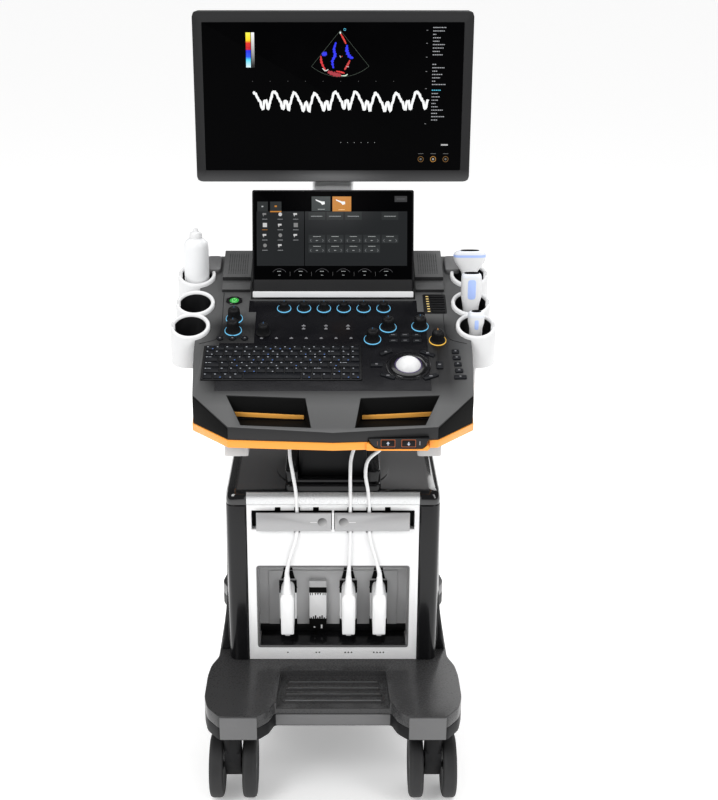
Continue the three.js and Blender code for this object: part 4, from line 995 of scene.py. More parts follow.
seamLine = [(208, 397), (208, 268), (214, 252), (244, 238)]
seams = []
for sign in sides.values():
    route = smoothRoute([(sign * x, a, 0.1) for x, a in seamLine], 6)
    seams.append(pipe(route, 0.5, 6))
piece("deck_seams", seams, "softBlack", "console", deck)
print("console shell ready")

# Keyboard: keys as low caps with generic marks

keyboard = {"x0": -231, "x1": 48.5, "a0": 134.5, "a1": 229.5, "gap": 1.7, "low": 1.4, "high": 3.0,
            "mark": (2.9, 3.12)}
keyRows = [  # relative key widths, from the front row to the back row
    [1.6, 1.6, 1.6, 1.6, 9.2, 1.6, 1.6, 1.6, 1.5, 1.5, 1.5],
    [2.6] + [1.5] * 10 + [3.2] + [1.5] * 3,
    [2.4] + [1.5] * 11 + [1.5, 3.3],
    [2.2] + [1.5] * 12 + [1.5, 1.5, 1.5],
    [1.5] * 13 + [2.3] + [1.5] * 2,
    [1.45] * 16,
]
caps, marks, markTints = [], [], []
white, blue = (0.42, 0.44, 0.48), (0.08, 0.2, 0.55)


# Edges of a row of cells from start to end, their widths in the given shares.
def cellEdges(start, end, shares):
    return start + (end - start) * np.concatenate([[0], np.cumsum(shares)]) / sum(shares)


rowEdges = cellEdges(keyboard["a0"], keyboard["a1"], [1, 1, 1, 1, 1, 0.8])
for r, widths in enumerate(keyRows):
    edges = cellEdges(keyboard["x0"], keyboard["x1"], widths)
    for k in range(len(widths)):
        x0, x1 = edges[k] + keyboard["gap"] / 2, edges[k + 1] - keyboard["gap"] / 2
        a0, a1 = rowEdges[r] + keyboard["gap"] / 2, rowEdges[r + 1] - keyboard["gap"] / 2
        flat = rounded([(x0, a0, 1.4), (x1, a0, 1.4), (x1, a1, 1.4), (x0, a1, 1.4)], 2)
        caps.append(slab(flat, keyboard["low"], keyboard["high"], 0.7, 2))
        if widths[k] > 8:  # the long bar has no mark
            continue
        size = rng.uniform(1.0, 1.7)
        cx, ca = x0 + 3.4, a1 - 3.2
        marks.append(tile(cx - size, ca - 1.1, cx + size, ca + 0.9, *keyboard["mark"]))
        markTints.append(white)
        if rng.random() < 0.45:
            marks.append(tile(x1 - 4.6, a0 + 1.7, x1 - 2.2, a0 + 3.6, *keyboard["mark"]))
            markTints.append(blue if rng.random() < 0.7 else white)
        if widths[k] > 2:
            marks.append(tile(x0 + 6.5, ca - 0.6, x0 + 6.5 + widths[k] * 2.4, ca + 0.4, *keyboard["mark"]))
            markTints.append(white)
piece("key_caps", caps, "key", "console", deck)
piece("key_marks", marks, "light", "console", deck, tints=markTints)
print(len(caps), "keys")

# Knobs: a skirt, a fluted body and a domed cap; a light ring shows at the skirt

# name, across, along, radius, height, colour of its ring
knobs = [(f"soft_knob_{i + 1}", -92 + i * 37.4, 346, 9.5, 15, "blue") for i in range(6)] + [
    ("left_knob_rear", -184, 314, 12, 24, "blue"), ("left_knob_front", -184, 277, 12, 24, "blue"),
    ("mode_knob", -128, 270, 11, 20, None), ("gain_knob_inner", 101.7, 287, 12, 22, "blue"),
    ("gain_knob_low", 72.2, 250.5, 12, 22, "blue"), ("gain_knob_outer", 161, 290, 12, 22, "blue"),
    ("freeze_knob", 191.1, 247.5, 12, 22, "amber"),
]
ringTint = {"blue": (0.16, 0.48, 0.72), "amber": (0.76, 0.46, 0.08)}
pointerTint = {"freeze_knob": (0.8, 0.36, 0.05), "mode_knob": (0.04, 0.16, 0.35)}


# Body radius r(z, a) = profile(z) less a shallow flute that repeats round the knob between its shoulders.
def knobBody(x, along, r, height, flutes=24):
    z = np.array([0.4, 0.4, 2.2, 2.8, 3.2, 4, height - 5, height - 2.6, height - 1, height - 0.25, height,
                  height - 0.7, height - 0.7])
    base = np.array([0, r + 2.5, r + 2.5, r + 1.2, r, r - 0.2, r - 1, r - 1.3, r - 2.2, r - 3.6, r - 5,
                     r - 6, 0])
    a = np.linspace(0, 2 * np.pi, flutes * 4, endpoint=False)[:, None]
    fluted = (z > 3.6) & (z < height - 2)
    radius = base - 0.35 * fluted * (1 - np.cos(flutes * a))
    grid = np.stack([x + radius * np.cos(a), along + radius * np.sin(a), z + 0 * a], -1)
    return welded(gridShape(grid, closeU=True))


for name, x, along, r, height, lit in knobs:
    piece(name + "_cap", knobBody(x, along, r, height), "softBlack", name, deck,
          replaced=[name])
    pointer = tile(x - 0.5, along + r * 0.35, x + 0.5, along + r * 0.7, height - 1, height + 0.12)
    piece(name + "_mark", pointer, "light", name, deck,
          tints=[pointerTint.get(name, (0.05, 0.16, 0.3))])
    if lit:
        section = [(r + 2.7, 0.1), (r + 2.8, 1.7), (r + 3.3, 2.2), (r + 3.8, 1.7), (r + 3.9, 0.1)]
        piece(name + "_ring", turned(section, x, along, 40), "ring", "console", deck,
              tints=[ringTint[lit]])
print("knobs ready")

# Buttons, trackball, gain slides

trackball = {"x": 134.6, "along": 173.3, "radius": 25, "sunk": 8}
x, along, r = trackball["x"], trackball["along"], trackball["radius"]
lat = np.linspace(-np.pi / 2, np.pi / 2, 25)[1:-1]
arc = zip(r * np.cos(lat), r * np.sin(lat) - trackball["sunk"])
ball = turned([(0, -r - trackball["sunk"]), *arc, (0, r - trackball["sunk"])], x, along, 48)
piece("trackball_ball", ball, "white", "trackball", deck, replaced=["trackball"])
collar = [(23.6, -0.5), (22.7, 2.6), (23.2, 3.4), (26, 3.2), (30.5, 2.4), (33.4, 1.2), (34.5, 0.1),
          (34.5, -1)]
lineRing = [(38.5, -0.5), (38.7, 0.6), (39.4, 0.9), (40.2, 0.6), (40.4, -0.5)]
piece("trackball_collar", [turned(collar, x, along, 64), turned(lineRing, x, along, 64)], "gloss", "console",
      deck)
glowSection = [(23.4, 3.1), (23.6, 3.7), (24.3, 3.7), (24.5, 3.1)]
piece("trackball_glow", turned(glowSection, x, along, 64), "light", "console", deck,
      tints=[(0.1, 0.05, 0.22)])


def buttonAt(x, along, w, h, turn=0.0, r=2.0, high=2.2):
    flat = oblong(-w / 2, -h / 2, w / 2, h / 2, r)
    c, s = math.cos(turn), math.sin(turn)
    flat = np.stack([x + c * flat[:, 0] - s * flat[:, 1], along + s * flat[:, 0] + c * flat[:, 1]], 1)
    return slab(flat, -0.2, high, 0.8, 2)


buttons, labels, labelTints = [], [], []
labelGrey, labelBlue = (0.42, 0.42, 0.44), (0.2, 0.6, 1.0)


# Rows of short bars in place of a name, and a small triangle over some of them.
def label(x, along, high, w=5.0, rows=1, tint=labelGrey):
    for k in range(rows):
        wide = w * rng.uniform(0.7, 1.0) / 2
        a = along - 1.8 * k
        labels.append(tile(x - wide, a - 0.35, x + wide, a + 0.35, high - 0.1, high + 0.12))
        labelTints.append(tint)


def triangle(x, along, half, height):
    labels.append(slab(rounded([(x - half, along), (x + half, along), (x, along + height)]), 0, 0.22))
    labelTints.append(labelGrey)


# across, along, width, height, turn
aroundBall = [(95.2, 211.5, 24, 9, 0.5), (77.7, 176.1, 22, 12, 0.0), (97.3, 143.8, 27, 9, -0.45),
              (170.8, 208, 28, 9, -0.5), (190.4, 174.7, 12, 21, 0.0), (173.3, 142.1, 28, 9, 0.45)]
for bx, ba, w, h, turn in aroundBall:
    buttons.append(buttonAt(bx, ba, w, h, turn))
    label(bx, ba + 1.5, 2.2, 6, 2)
rightColumn = zip(np.linspace(221.5, 225.3, 5), np.linspace(213.9, 140.7, 5), (13, 14, 13, 14, 22))
for bx, ba, w in rightColumn:
    buttons.append(buttonAt(bx, ba, w, 10.5))
    label(bx, ba + 2, 2.2, 4, 2)
for bx in np.linspace(110, 153.5, 3):
    for ba in (263.4, 246.5):
        buttons.append(buttonAt(bx, ba, 16, 10, 0, 1.5, 1.4))
        label(bx, ba + 0.5, 1.4, 8, 1)
for bx in np.linspace(-207, -161.5, 3):
    buttons.append(slab(circle(bx, 254, 6.4, 24), -0.2, 2.4, 1.2, 3))
    label(bx, 254.5, 2.4, 3.4, 2)
piece("deck_buttons", buttons, "key", "console", deck)

for bx in np.linspace(-131, 33, 7):
    label(bx, 255.5, 0.1, 7, 2)
    triangle(bx, 256.9, 1.4, 1.4)
for bx in (-54.4, -13, 27.8):
    for ba in (293, 284):
        label(bx, ba, 0.1, 8, 2)
        triangle(bx, ba + 1.2, 1.8, 2.2)
label(-128, 288, 0.1, 9, 1, (0.12, 0.4, 0.8))
for bx, ba, w in ((101.7, 303, 7), (72.2, 268, 5), (161, 306, 7)):
    label(bx, ba, 0.1, w, 1, labelBlue)
piece("deck_labels", labels, "light", "console", deck, tints=labelTints)

slides = {"count": 7, "x0": (178.7, 180.3), "x1": 211, "a0": 384.6, "a1": 337.1}
grooves, stops = [slab(oblong(170.5, 330, 214, 392, 4), -0.2, 0.5, 0.3)], []
starts = np.linspace(*slides["x0"], slides["count"])
for bx, ba in zip(starts, np.linspace(slides["a0"], slides["a1"], slides["count"])):
    grooves.append(slab(oblong(bx + 5, ba - 3.4, slides["x1"], ba - 0.2, 1.2), 0.4, 2.4, 0.8))
    stops.append(tile(bx - 2.6, ba - 1.3, bx + 2.6, ba + 1.3, 0.4, 0.75))
piece("gain_slides", grooves, "softBlack", "console", deck)
piece("gain_marks", stops, "light", "console", deck, tints=[(0.95, 0.72, 0.28)] * len(stops))

# Power button: a flattened eight-sided rim with a side at the front, and a symbol on the cap.
power = {"x": -187.2, "along": 371, "radius": 14.6, "wider": 1.12, "flatter": 0.86}
x, along = power["x"], power["along"]
a = np.linspace(0, 2 * np.pi, 8, endpoint=False) + np.pi / 8
octagon = np.stack([x + power["wider"] * power["radius"] * np.cos(a),
                    along + power["flatter"] * power["radius"] * np.sin(a)], 1)
piece("power_rim", rim(octagon, circle(x, along, 9.7, 8), -0.2, 2.6, 0.8), "gloss", "console",
      deck)
symbol = [rim(circle(x, along, 4.6, 24), circle(x, along, 3.5, 24), 2.3, 2.75, 0.1),
          tile(x - 0.5, along + 1, x + 0.5, along + 5.6, 2.5, 2.95)]
piece("power_symbol", symbol, "light", "power_button", deck, tints=[(0.35, 0.9, 0.35)] * 2)

# Orange line that goes on under the switch pod, its ends rising beside the pod's sloping sides.
podLine = [(64, 776.6), (160, 776.6), (164, 780), (160, 786), (152, 779.6), (146, 779.2), (76, 779.2),
           (70, 781), (61, 790), (56.5, 790), (56.5, 777)]
piece("pod_line", slab(rounded(podLine), -10, 0.9, 0.3), "orange", "console",
      leaning((0, -351, 0), 90))

# Lift switches: an outline round each button and an arrow on it, head first and then its stem.
podFace = leaning((0, -350, 0), 90)
switch = {"z": 789.5, "half": 12.2, "tall": 6.7, "line": 0.9}
frames = []
for way, bx, tip, stem in (("up", 93, 1, (786.4, 789.7)), ("down", 128, -1, (789.3, 792.6))):
    z, half, tall = switch["z"], switch["half"], switch["tall"]
    outer = oblong(bx - half, z - tall, bx + half, z + tall, 1)
    half, tall = half - switch["line"], tall - switch["line"]
    frames.append(rim(outer, oblong(bx - half, z - tall, bx + half, z + tall, 1), -0.2, 0.5, 0.2))
    head = [(bx - 3, z), (bx + 3, z), (bx, z + 4 * tip)][::tip]
    arrow = [slab(rounded(head), 1.8, 2.25), tile(bx - 0.9, stem[0], bx + 0.9, stem[1], 1.8, 2.25)]
    piece(f"lift_{way}_arrow", arrow, "light", f"lift_{way}_button", podFace,
          tints=[(0.6, 0.65, 0.75)] * 2)
piece("lift_outlines", frames, "light", "console", podFace, tints=[(0.55, 0.16, 0.06)] * 2)
sideMarks = [tile(74.6, 786, 75.6, 793, -0.2, 0.3), tile(146.4, 786, 147.4, 793, -0.2, 0.3)]
piece("lift_side_marks", sideMarks, "light", "console", podFace,
      tints=[(0.3, 0.12, 0.06), (0.6, 0.6, 0.62)])
print("controls ready")

# Cups: a wall of constant section round an open angle, cut level with the deck

cup = {"outer": 37, "bore": 29.5, "hole": 13, "rim": 6, "slot": 6.7}


# Section (r, z) swept from one side of the slot to the other; rim height follows the deck at each angle.
def cupShape(x, y, z, sign, count=56):
    low = z - cupDepth
    gap = math.asin(cup["slot"] / 33)
    start = 0 if sign > 0 else math.pi
    a = start + np.linspace(gap, 2 * np.pi - gap, count)
    t = np.linspace(0, np.pi, 9)
    middle, half = (cup["outer"] + cup["bore"]) / 2, (cup["outer"] - cup["bore"]) / 2
    r = np.concatenate([[cup["hole"], 32, 35.5, 37], middle + half * np.cos(t),
                        [cup["bore"], 28, cup["hole"]]])
    level = np.concatenate([[low, low, low + 1, low + 4], np.zeros(9), [low + 8, low + 6, low + 6]])
    arch = np.concatenate([np.zeros(4), np.sin(t) * half, np.zeros(3)])
    follows = np.concatenate([np.zeros(4), np.ones(9), np.zeros(3)])
    px, py = x + r[None] * np.cos(a)[:, None], y + r[None] * np.sin(a)[:, None]
    top = z + slope * (py - y) + cup["rim"] / math.cos(math.radians(deckEdge["angle"])) - half + arch
    grid = np.stack([px, py, np.where(follows > 0, top, level)], -1)
    points, faces = gridShape(grid, closeV=True)
    n = len(r)
    return points, faces + [tuple(range(n))[::-1], tuple(range(len(points) - n, len(points)))]


# A thin dark lining inside the cup, from just under the rim down and in along the floor, then back up.
def cupLiner(x, y, z, sign, count=48):
    gap = math.asin(cup["slot"] / 29)
    a = (0 if sign > 0 else math.pi) + np.linspace(gap, 2 * np.pi - gap, count)
    bore, low = cup["bore"], -cupDepth
    r = np.array([bore - 0.3, bore - 0.3, bore - 1.3, 14, 14, bore - 2, bore - 0.9, bore - 0.9])
    h = np.array([2.2, -50, low + 7.2, low + 6.3, low + 6.8, low + 7.6, -50, 2.2])
    py = y + r[None] * np.sin(a)[:, None]
    lift = np.where(h[None] > 0, slope * (py - y), 0)
    grid = np.stack([x + r[None] * np.cos(a)[:, None], py, z + h[None] + lift], -1)
    points, faces = gridShape(grid, closeV=True)
    n = len(r)
    return points, faces + [tuple(range(n))[::-1], tuple(range(len(points) - n, len(points)))]


for side, sign in sides.items():
    cups, liners = [], []
    for across, along in cupPlaces:
        y, z = deckPoint(along)[1:]
        cups.append(cupShape(sign * across, y, z, sign))
        liners.append(cupLiner(sign * across, y, z, sign))
    y0, y1 = deckPoint(cupPlaces[1][1])[1], deckPoint(cupPlaces[2][1])[1]
    x0, x1 = span(sign, 258, 284)
    z0 = deckPoint(cupPlaces[2][1])[2] - cupDepth + 2
    web = slab(oblong(x0, y0 + 34, x1, y1 - 34, 3), z0, z0 + 44, 3)
    piece(f"cups_{side}", cups + [web], "white", "console", replaced=[f"cup_holder_{side}"])
    piece(f"cup_liners_{side}", liners, "softBlack", "console")
print("cups ready")

# Probes and bottle


# Skin |x/a|^n + |y/b|^n = 1 with a, b and n following height; the first and last rows close to a point.
def skin(rows, x, y, z, count=40, grow=0.0):
    h, a, b, n = np.array(rows, float).T
    w = np.linspace(0, 2 * np.pi, count, endpoint=False)[:, None]
    c, s = np.cos(w), np.sin(w)
    px = (a + grow * (a > 0)) * np.sign(c) * np.abs(c) ** (2 / n)
    py = (b + grow * (b > 0)) * np.sign(s) * np.abs(s) ** (2 / n)
    grid = np.stack([x + px, y + py, z + h + 0 * w], -1)
    return welded(gridShape(grid, closeU=True))


# height, half width, half depth, squareness, from the cable end up
probeRows = [
    [(0, 0, 0, 2), (0, 5, 5, 2), (4, 5.6, 5.6, 2), (10, 7.5, 7.5, 2), (16, 11, 10, 2.2), (24, 12, 11.4, 2.4),
     (60, 12, 11.6, 2.4), (66, 13, 12, 2.6), (74, 15, 12.6, 3), (88, 15, 12.6, 3), (92, 13, 11, 2.8),
     (94, 9, 8, 2.4), (94, 0, 0, 2)],
    [(0, 0, 0, 2), (0, 5, 5, 2), (5, 6, 6, 2), (12, 9, 8, 2), (18, 13, 11, 2.4), (26, 15, 12.4, 2.6),
     (58, 15, 12.4, 2.6), (68, 16.6, 12.8, 3), (78, 19, 13.2, 3.6), (116, 19, 13, 4), (121, 17.6, 11.6, 3.4),
     (124, 14, 8.5, 3), (124, 0, 0, 2)],
    [(0, 0, 0, 2), (0, 5, 5, 2), (5, 6, 6, 2), (12, 9, 9, 2), (20, 12.6, 11.6, 2.4), (60, 13, 12, 2.6),
     (72, 16, 12, 2.8), (84, 24, 12, 3.2), (92, 29, 12, 3.6), (100, 31, 12, 4), (107, 30.4, 11.6, 4),
     (111.5, 26, 10, 3.4), (113.8, 18, 7, 3), (113.8, 0, 0, 2)],
]


# The same skin between two heights, for a band laid over it.
def rowsBetween(rows, low, high, count=8):
    table = np.array(rows[1:-1], float)
    h = np.linspace(low, high, count)
    return [(v, *[float(np.interp(v, table[:, 0], table[:, k])) for k in (1, 2, 3)]) for v in h]


# part, low, high, how far proud, finish
accents = [
    [("lens", 84, 94, 0.25, "lens")], [("lens", 117, 124, 0.25, "lens")],
    [("lens", 107.5, 113.8, 0.25, "lens"), ("cuff", 102, 106.5, 0.3, "paleBlue")],
]
grips = [(3.6, 62, 80, 12.3), (7.4, 76, 114, 13.0), (4.6, 46, 70, 12.0)]  # half width, low, high, how far out
for i, (across, along) in enumerate(cupPlaces):
    y, z = deckPoint(along)[1:]
    foot = z - cupDepth + cupFloor
    body = f"probe_{i + 1}"
    piece(body + "_shell", skin(probeRows[i], across, y, foot), "white", body,
          replaced=[body], crease=55)
    for part, low, high, grow, finish in accents[i]:
        rows = rowsBetween(probeRows[i], low, high)
        rows = [(rows[0][0], 0, 0, 2), *rows, (rows[-1][0], 0, 0, 2)]
        piece(f"{body}_{part}", skin(rows, across, y, foot, grow=grow), finish, body,
              crease=55)
    half, low, high, out = grips[i]
    pad = slab(oblong(-half, low, half, high, half * 0.8), -1.6, 0.5, 0.4)
    piece(f"{body}_grip", pad, "paleBlue", body, leaning((across, y - out, foot), 90))
    route = smoothRoute([(across, y, foot - 9), (across, y, foot - 4), (across, y, foot + 1)], 8)
    sleeve = pipe(route, np.linspace(4.1, 5.2, len(route)), 20)
    piece(f"{body}_relief", sleeve, "bayGrey", body)

x = -cupPlaces[2][0]
y, z = deckPoint(cupPlaces[2][1])[1:]
foot = z - cupDepth + cupFloor
bottleSkin = [(0, 0.6), (17, 0), (21.5, 0.8), (23.6, 3), (24, 7), (24, 60), (23.7, 63), (24, 66), (24, 122),
              (23.2, 128), (20, 133), (14, 137), (11.4, 138.4), (0, 138.4)]
nozzle = [(0, 137), (12.2, 137), (12.4, 139), (12, 147), (10.5, 149), (6, 151), (4.4, 155), (3.6, 157.6),
          (0, 158)]
cupBase = ((0, 0, foot), (1, 0, 0), (0, 1, 0), (0, 0, 1))
piece("gel_bottle_body", turned(bottleSkin, x, y, 48), "bottle", "bottle", cupBase,
      replaced=["gel_bottle"])
piece("gel_bottle_cap", turned(nozzle, x, y, 40), "white", "bottle", cupBase)
print("probes ready")

# Touch screen

glass = slab(oblong(-149.6, 11, 149.6, 199, 4), -0.2, 0.9, 0.5)
piece("touch_glass", glass, "screen", "touch", touchFace)
outer, inner = oblong(-152.6, -0.6, 152.6, 201.4, 4), oblong(-150.2, 9.8, 150.2, 200, 3)
piece("touch_frame", rim(outer, inner, -13, 1.6), "softBlack", "touch", touchFace)
lip = slab(oblong(-152.7, -0.8, 152.7, 10.8, 2), -13, 2, 0.7)
piece("touch_lip", lip, "white", "touch", touchFace)
chin = slab(oblong(-149.9, 10.1, 149.9, 33, 1), -0.2, 1.1, 0.4)
piece("touch_chin", chin, "bezel", "touch", touchFace)

ui, uiTints = [], []
dim, tone, text, amber = (0.007, 0.009, 0.011), (0.022, 0.026, 0.027), (0.5, 0.52, 0.52), (0.56, 0.23, 0.025)


# A rectangle of one tint on the glass; over lifts it above what it lies on.
def paint(x0, y0, x1, y1, tint, over=0):
    low, high = 0.85 + 0.1 * over, 0.96 + 0.1 * over
    ui.append(tile(x0, y0, x1, y1, low, high))
    uiTints.append(tint)


# A row of short bars in place of words, centred on x.
def words(x, y, w, tint=text, over=2):
    cursor = x - w / 2
    while cursor < x + w / 2 - 0.6:
        step = rng.uniform(1.0, 2.6)
        paint(cursor, y - 0.55, min(cursor + step, x + w / 2), y + 0.55, tint, over)
        cursor += step + 0.55


# Places on the lit area: u goes across it and v down it, both from 0 to 1.
def u(share):
    return -144.5 + 285.0 * share


def v(share):
    return 33.5 + 160.0 * (1 - share)


paint(u(0.0), v(0.84), u(0.315), v(0.2), dim)
paint(u(0.32), v(0.84), u(1.0), v(0.2), dim)
paint(u(0.005), v(0.2), u(0.075), v(0.085), tone, 1)
paint(u(0.09), v(0.2), u(0.165), v(0.085), tone, 1)
paint(u(0.09), v(0.21), u(0.165), v(0.195), amber, 2)
paint(u(0.033), v(0.15), u(0.045), v(0.135), text, 2)
paint(u(0.12), v(0.15), u(0.135), v(0.13), amber, 2)
paint(u(0.365), v(0.195), u(0.49), v(0.025), (0.035, 0.045, 0.045), 1)
paint(u(0.503), v(0.2), u(0.628), v(0.025), amber, 1)
paint(u(0.915), v(0.09), u(0.998), v(0.02), (0.045, 0.045, 0.048), 1)
words(u(0.957), v(0.055), 16, (0.15, 0.15, 0.16))
words(u(0.43), v(0.175), 13)
words(u(0.565), v(0.18), 12, (0.9, 0.7, 0.4))
for px in (0.39, 0.525):  # a small probe: handle, flared head
    x0, y0 = u(px), v(0.065)
    handle = rounded([(x0, y0 + 1.2), (x0 + 1, y0 - 1.4), (x0 + 11, y0 - 6.2), (x0 + 12, y0 - 3)])
    head = rounded([(x0 + 10, y0 - 6), (x0 + 13, y0 - 9.5), (x0 + 18, y0 - 8), (x0 + 17.5, y0 - 3),
                    (x0 + 12, y0 - 3)])
    for flat in (handle, head):
        ui.append(slab(flat, 1.1, 1.2))
        uiTints.append((0.85, 0.86, 0.86))
for c, px in enumerate((0.055, 0.157, 0.26)):
    for r, py in enumerate((0.235, 0.36, 0.48, 0.6)):
        if c == 2 and r == 3:
            continue
        bright = ((0.6 if (c + r) % 3 else 0.25),) * 3
        x0, y0 = u(px), v(py)
        if (c, r) in ((0, 1), (2, 1)):
            paint(x0 - 4, y0 - 4, x0 + 4, y0 + 4, bright, 2)
        elif (c + r) % 2:
            ui.append(slab(circle(x0, y0, 3.6, 12), 1.05, 1.16))
            uiTints.append(bright)
        else:
            paint(x0 - 4.5, y0 - 1, x0 + 2.5, y0 + 2.4, bright, 2)
            paint(x0 - 3.5, y0 - 3.6, x0 - 2, y0, bright, 2)
        words(x0, y0 - 9, 10, amber if (c, r) == (0, 1) else (0.4, 0.41, 0.42))
for px in (0.345, 0.465, 0.588, 0.83):
    paint(u(px), v(0.3), u(px + 0.11), v(0.205), tone, 1)
    words(u(px + 0.055), v(0.257), 22)
for r, (py, count) in enumerate(((0.475, 5), (0.59, 4))):
    for k in range(count):
        px = 0.345 + 0.1215 * k
        paint(u(px), v(py + 0.095), u(px + 0.11), v(py), (0.03, 0.034, 0.036), 1)
        paint(u(px), v(py + 0.036), u(px + 0.11), v(py), tone, 2)
        words(u(px + 0.055), v(py + 0.02), 14, text, 3)
        words(u(px + 0.055), v(py + 0.068), 4, text, 2)
        for s in (-1, 1):
            x0, y0 = u(px + 0.055) + s * 13, v(py + 0.068)
            for w in (-1, 1):
                stroke = [(x0, y0), (x0 - s * 2.2, y0 + w * 2.6), (x0 - s * 2.9, y0 + w * 2.6),
                          (x0 - s * 0.8, y0)]
                stroke = stroke if s * w < 0 else stroke[::-1]
                ui.append(slab(rounded(stroke), 1.05, 1.16))
                uiTints.append((0.3, 0.31, 0.32))
for k in range(6):
    cx, cy = u(0.15 + 0.142 * k), v(0.97)
    a = np.linspace(math.radians(35), math.radians(145), 18)
    way = np.stack([np.cos(a), np.sin(a)], 1)
    arc = np.array((cx, cy)) + np.vstack([15.5 * way, 15.0 * way[::-1]])
    ui.append(slab(arc, 0.95, 1.05))
    uiTints.append((0.14, 0.14, 0.15))
    words(cx, v(0.905), 8)
    words(cx, v(0.95), 4)
    if k:
        paint(cx - 20.3, v(0.96), cx - 19.9, v(0.91), (0.2, 0.2, 0.2), 1)
piece("touch_picture", ui, "light", "touch", touchFace, tints=uiTints)
print("touch screen ready", len(ui))

# Monitor

# Bezel: from the outer edge of the face in towards the glass, sloping a little inwards.
face = (-258.7, 1149.3, 258.7, 1462.2)
screenBox = (-241.5, 1170.5, 241.5, 1442.5)
outer, inner = oblong(*face, 12), oblong(*screenBox, 2)
rings = [(outer, -3), (outer, 2.4), (outer - mitres(outer) * 1.2, 3.6), (inner + mitres(inner) * 0.8, 0.9),
         (inner, 0.2), (inner, -1)]
piece("monitor_bezel", ringed(rings), "monitorEdge", "monitor", monitorFace)
glass = slab(oblong(*screenBox, 1.5), -0.6, 0.5, 0.2)
piece("monitor_glass", glass, "screen", "monitor", monitorFace)

picture, pictureTints = [], []


def shine(shape, tint):
    picture.append(shape)
    pictureTints.append(tint)


def block(x0, z0, x1, z1, tint):
    shine(tile(x0, z0, x1, z1, 0.4, 0.55), tint)


# Colour scale: warm above, cool below, in small steps, with a grey wedge beside it.
scale = [(0, (1, 0.95, 0.1)), (0.22, (1, 0.75, 0)), (0.3, (0.8, 0.03, 0.02)), (0.49, (0.6, 0, 0.02)),
         (0.51, (0.02, 0.02, 0.8)), (0.7, (0.02, 0.12, 0.9)), (0.78, (0.1, 0.75, 0.95)), (1, (0.8, 0.95, 1))]
places = [place for place, _ in scale]
bar = {"x0": -161, "x1": -152, "top": 1424.5, "low": 1361.5, "steps": 28}
edges = np.linspace(bar["top"], bar["low"], bar["steps"] + 1)
for k in range(bar["steps"]):
    f = (k + 0.5) / bar["steps"]
    tint = tuple(float(np.interp(f, places, [colour[c] for _, colour in scale])) for c in range(3))
    block(bar["x0"], edges[k + 1], bar["x1"], edges[k], tint)
    block(bar["x1"] + 1, edges[k + 1], bar["x1"] + 7, edges[k], (max(0.02, 1 - 1.05 * f),) * 3)

# Fan: thin outline of a sector; inside it patches that follow a pear-shaped wall.
apex, reach, spread = np.array([13.5, 1428.0]), 83.5, math.radians(39.6)


def fanPoint(angle, distance):
    a = np.asarray(angle, float)
    return np.stack([apex[0] + distance * np.sin(a), apex[1] - distance * np.cos(a)], -1)


# A flat line of changing width: the route with half the width added to either side, and thin walls below.
def stroke(line, width):
    line = np.asarray(line, float)
    way = np.gradient(line, axis=0)
    way /= np.linalg.norm(way, axis=1)[:, None]
    normal = np.stack([-way[:, 1], way[:, 0]], 1)
    w = np.broadcast_to(np.asarray(width, float), (len(line),))[:, None] / 2
    loop = np.vstack([line - normal * w, (line + normal * w)[::-1]])
    grid = np.hstack([loop, np.full((len(loop), 1), 0.52)])
    count = len(line)
    faces = [(i, i + 1, 2 * count - 2 - i, 2 * count - 1 - i) for i in range(count - 1)]
    lifted = np.vstack([grid, grid - np.array([0, 0, 0.3])])
    n = 2 * count
    sides = [(i, i + n, (i + 1) % n + n, (i + 1) % n) for i in range(n)]
    return lifted, faces + sides + [tuple(i + n for i in f[::-1]) for f in faces]


edgeTint = (0.1, 0.13, 0.1)
shine(stroke([apex, fanPoint(spread, reach)], 0.5), edgeTint)
shine(stroke([apex, fanPoint(-spread, reach)], 0.5), edgeTint)
arc = np.linspace(-spread, spread, 30)
shine(stroke(fanPoint(arc, reach), 0.5), edgeTint)
flow = [  # (angle, distance) from the apex, width, tint
    ([(-0.34, 22), (-0.3, 36), (-0.2, 44), (-0.24, 56), (-0.17, 68)], 5.2, (0.02, 0.03, 0.9)),
    ([(-0.62, 54), (-0.56, 50), (-0.5, 47)], 8, (0.03, 0.04, 0.85)),
    ([(-0.62, 57), (-0.5, 66), (-0.34, 75)], 4, (0.72, 0.03, 0.04)),
    ([(-0.28, 76), (-0.12, 78), (0.02, 79)], 8.5, (0.45, 0.04, 0.06)),
    ([(-0.1, 72), (0.04, 74), (0.1, 76)], 3, (0.8, 0.05, 0.05)),
    ([(0.1, 6), (0.36, 18), (0.38, 26)], 3.4, (0.75, 0.05, 0.04)),
    ([(0.42, 28), (0.3, 38), (0.34, 50), (0.42, 54)], 6.2, (0.02, 0.03, 0.9)),
    ([(0.3, 55), (0.2, 62), (0.1, 70)], 4, (0.62, 0.05, 0.05)),
    ([(-0.03, 2), (0.0, 6)], 3, (0.8, 0.9, 0.85)),
    ([(-0.42, 74), (-0.34, 76), (-0.28, 72)], 2.2, (0.75, 0.75, 0.7)),
    ([(0.02, 80), (0.12, 80), (0.16, 78)], 2.2, (0.7, 0.85, 0.7)),
    ([(0.16, 64), (0.22, 66)], 1.8, (0.7, 0.6, 0.6)),
    ([(-0.02, 44), (0.02, 48)], 1.4, (0.6, 0.6, 0.6)),
    ([(0.05, 45), (0.07, 46)], 2.2, (0.8, 0.05, 0.05)),
]
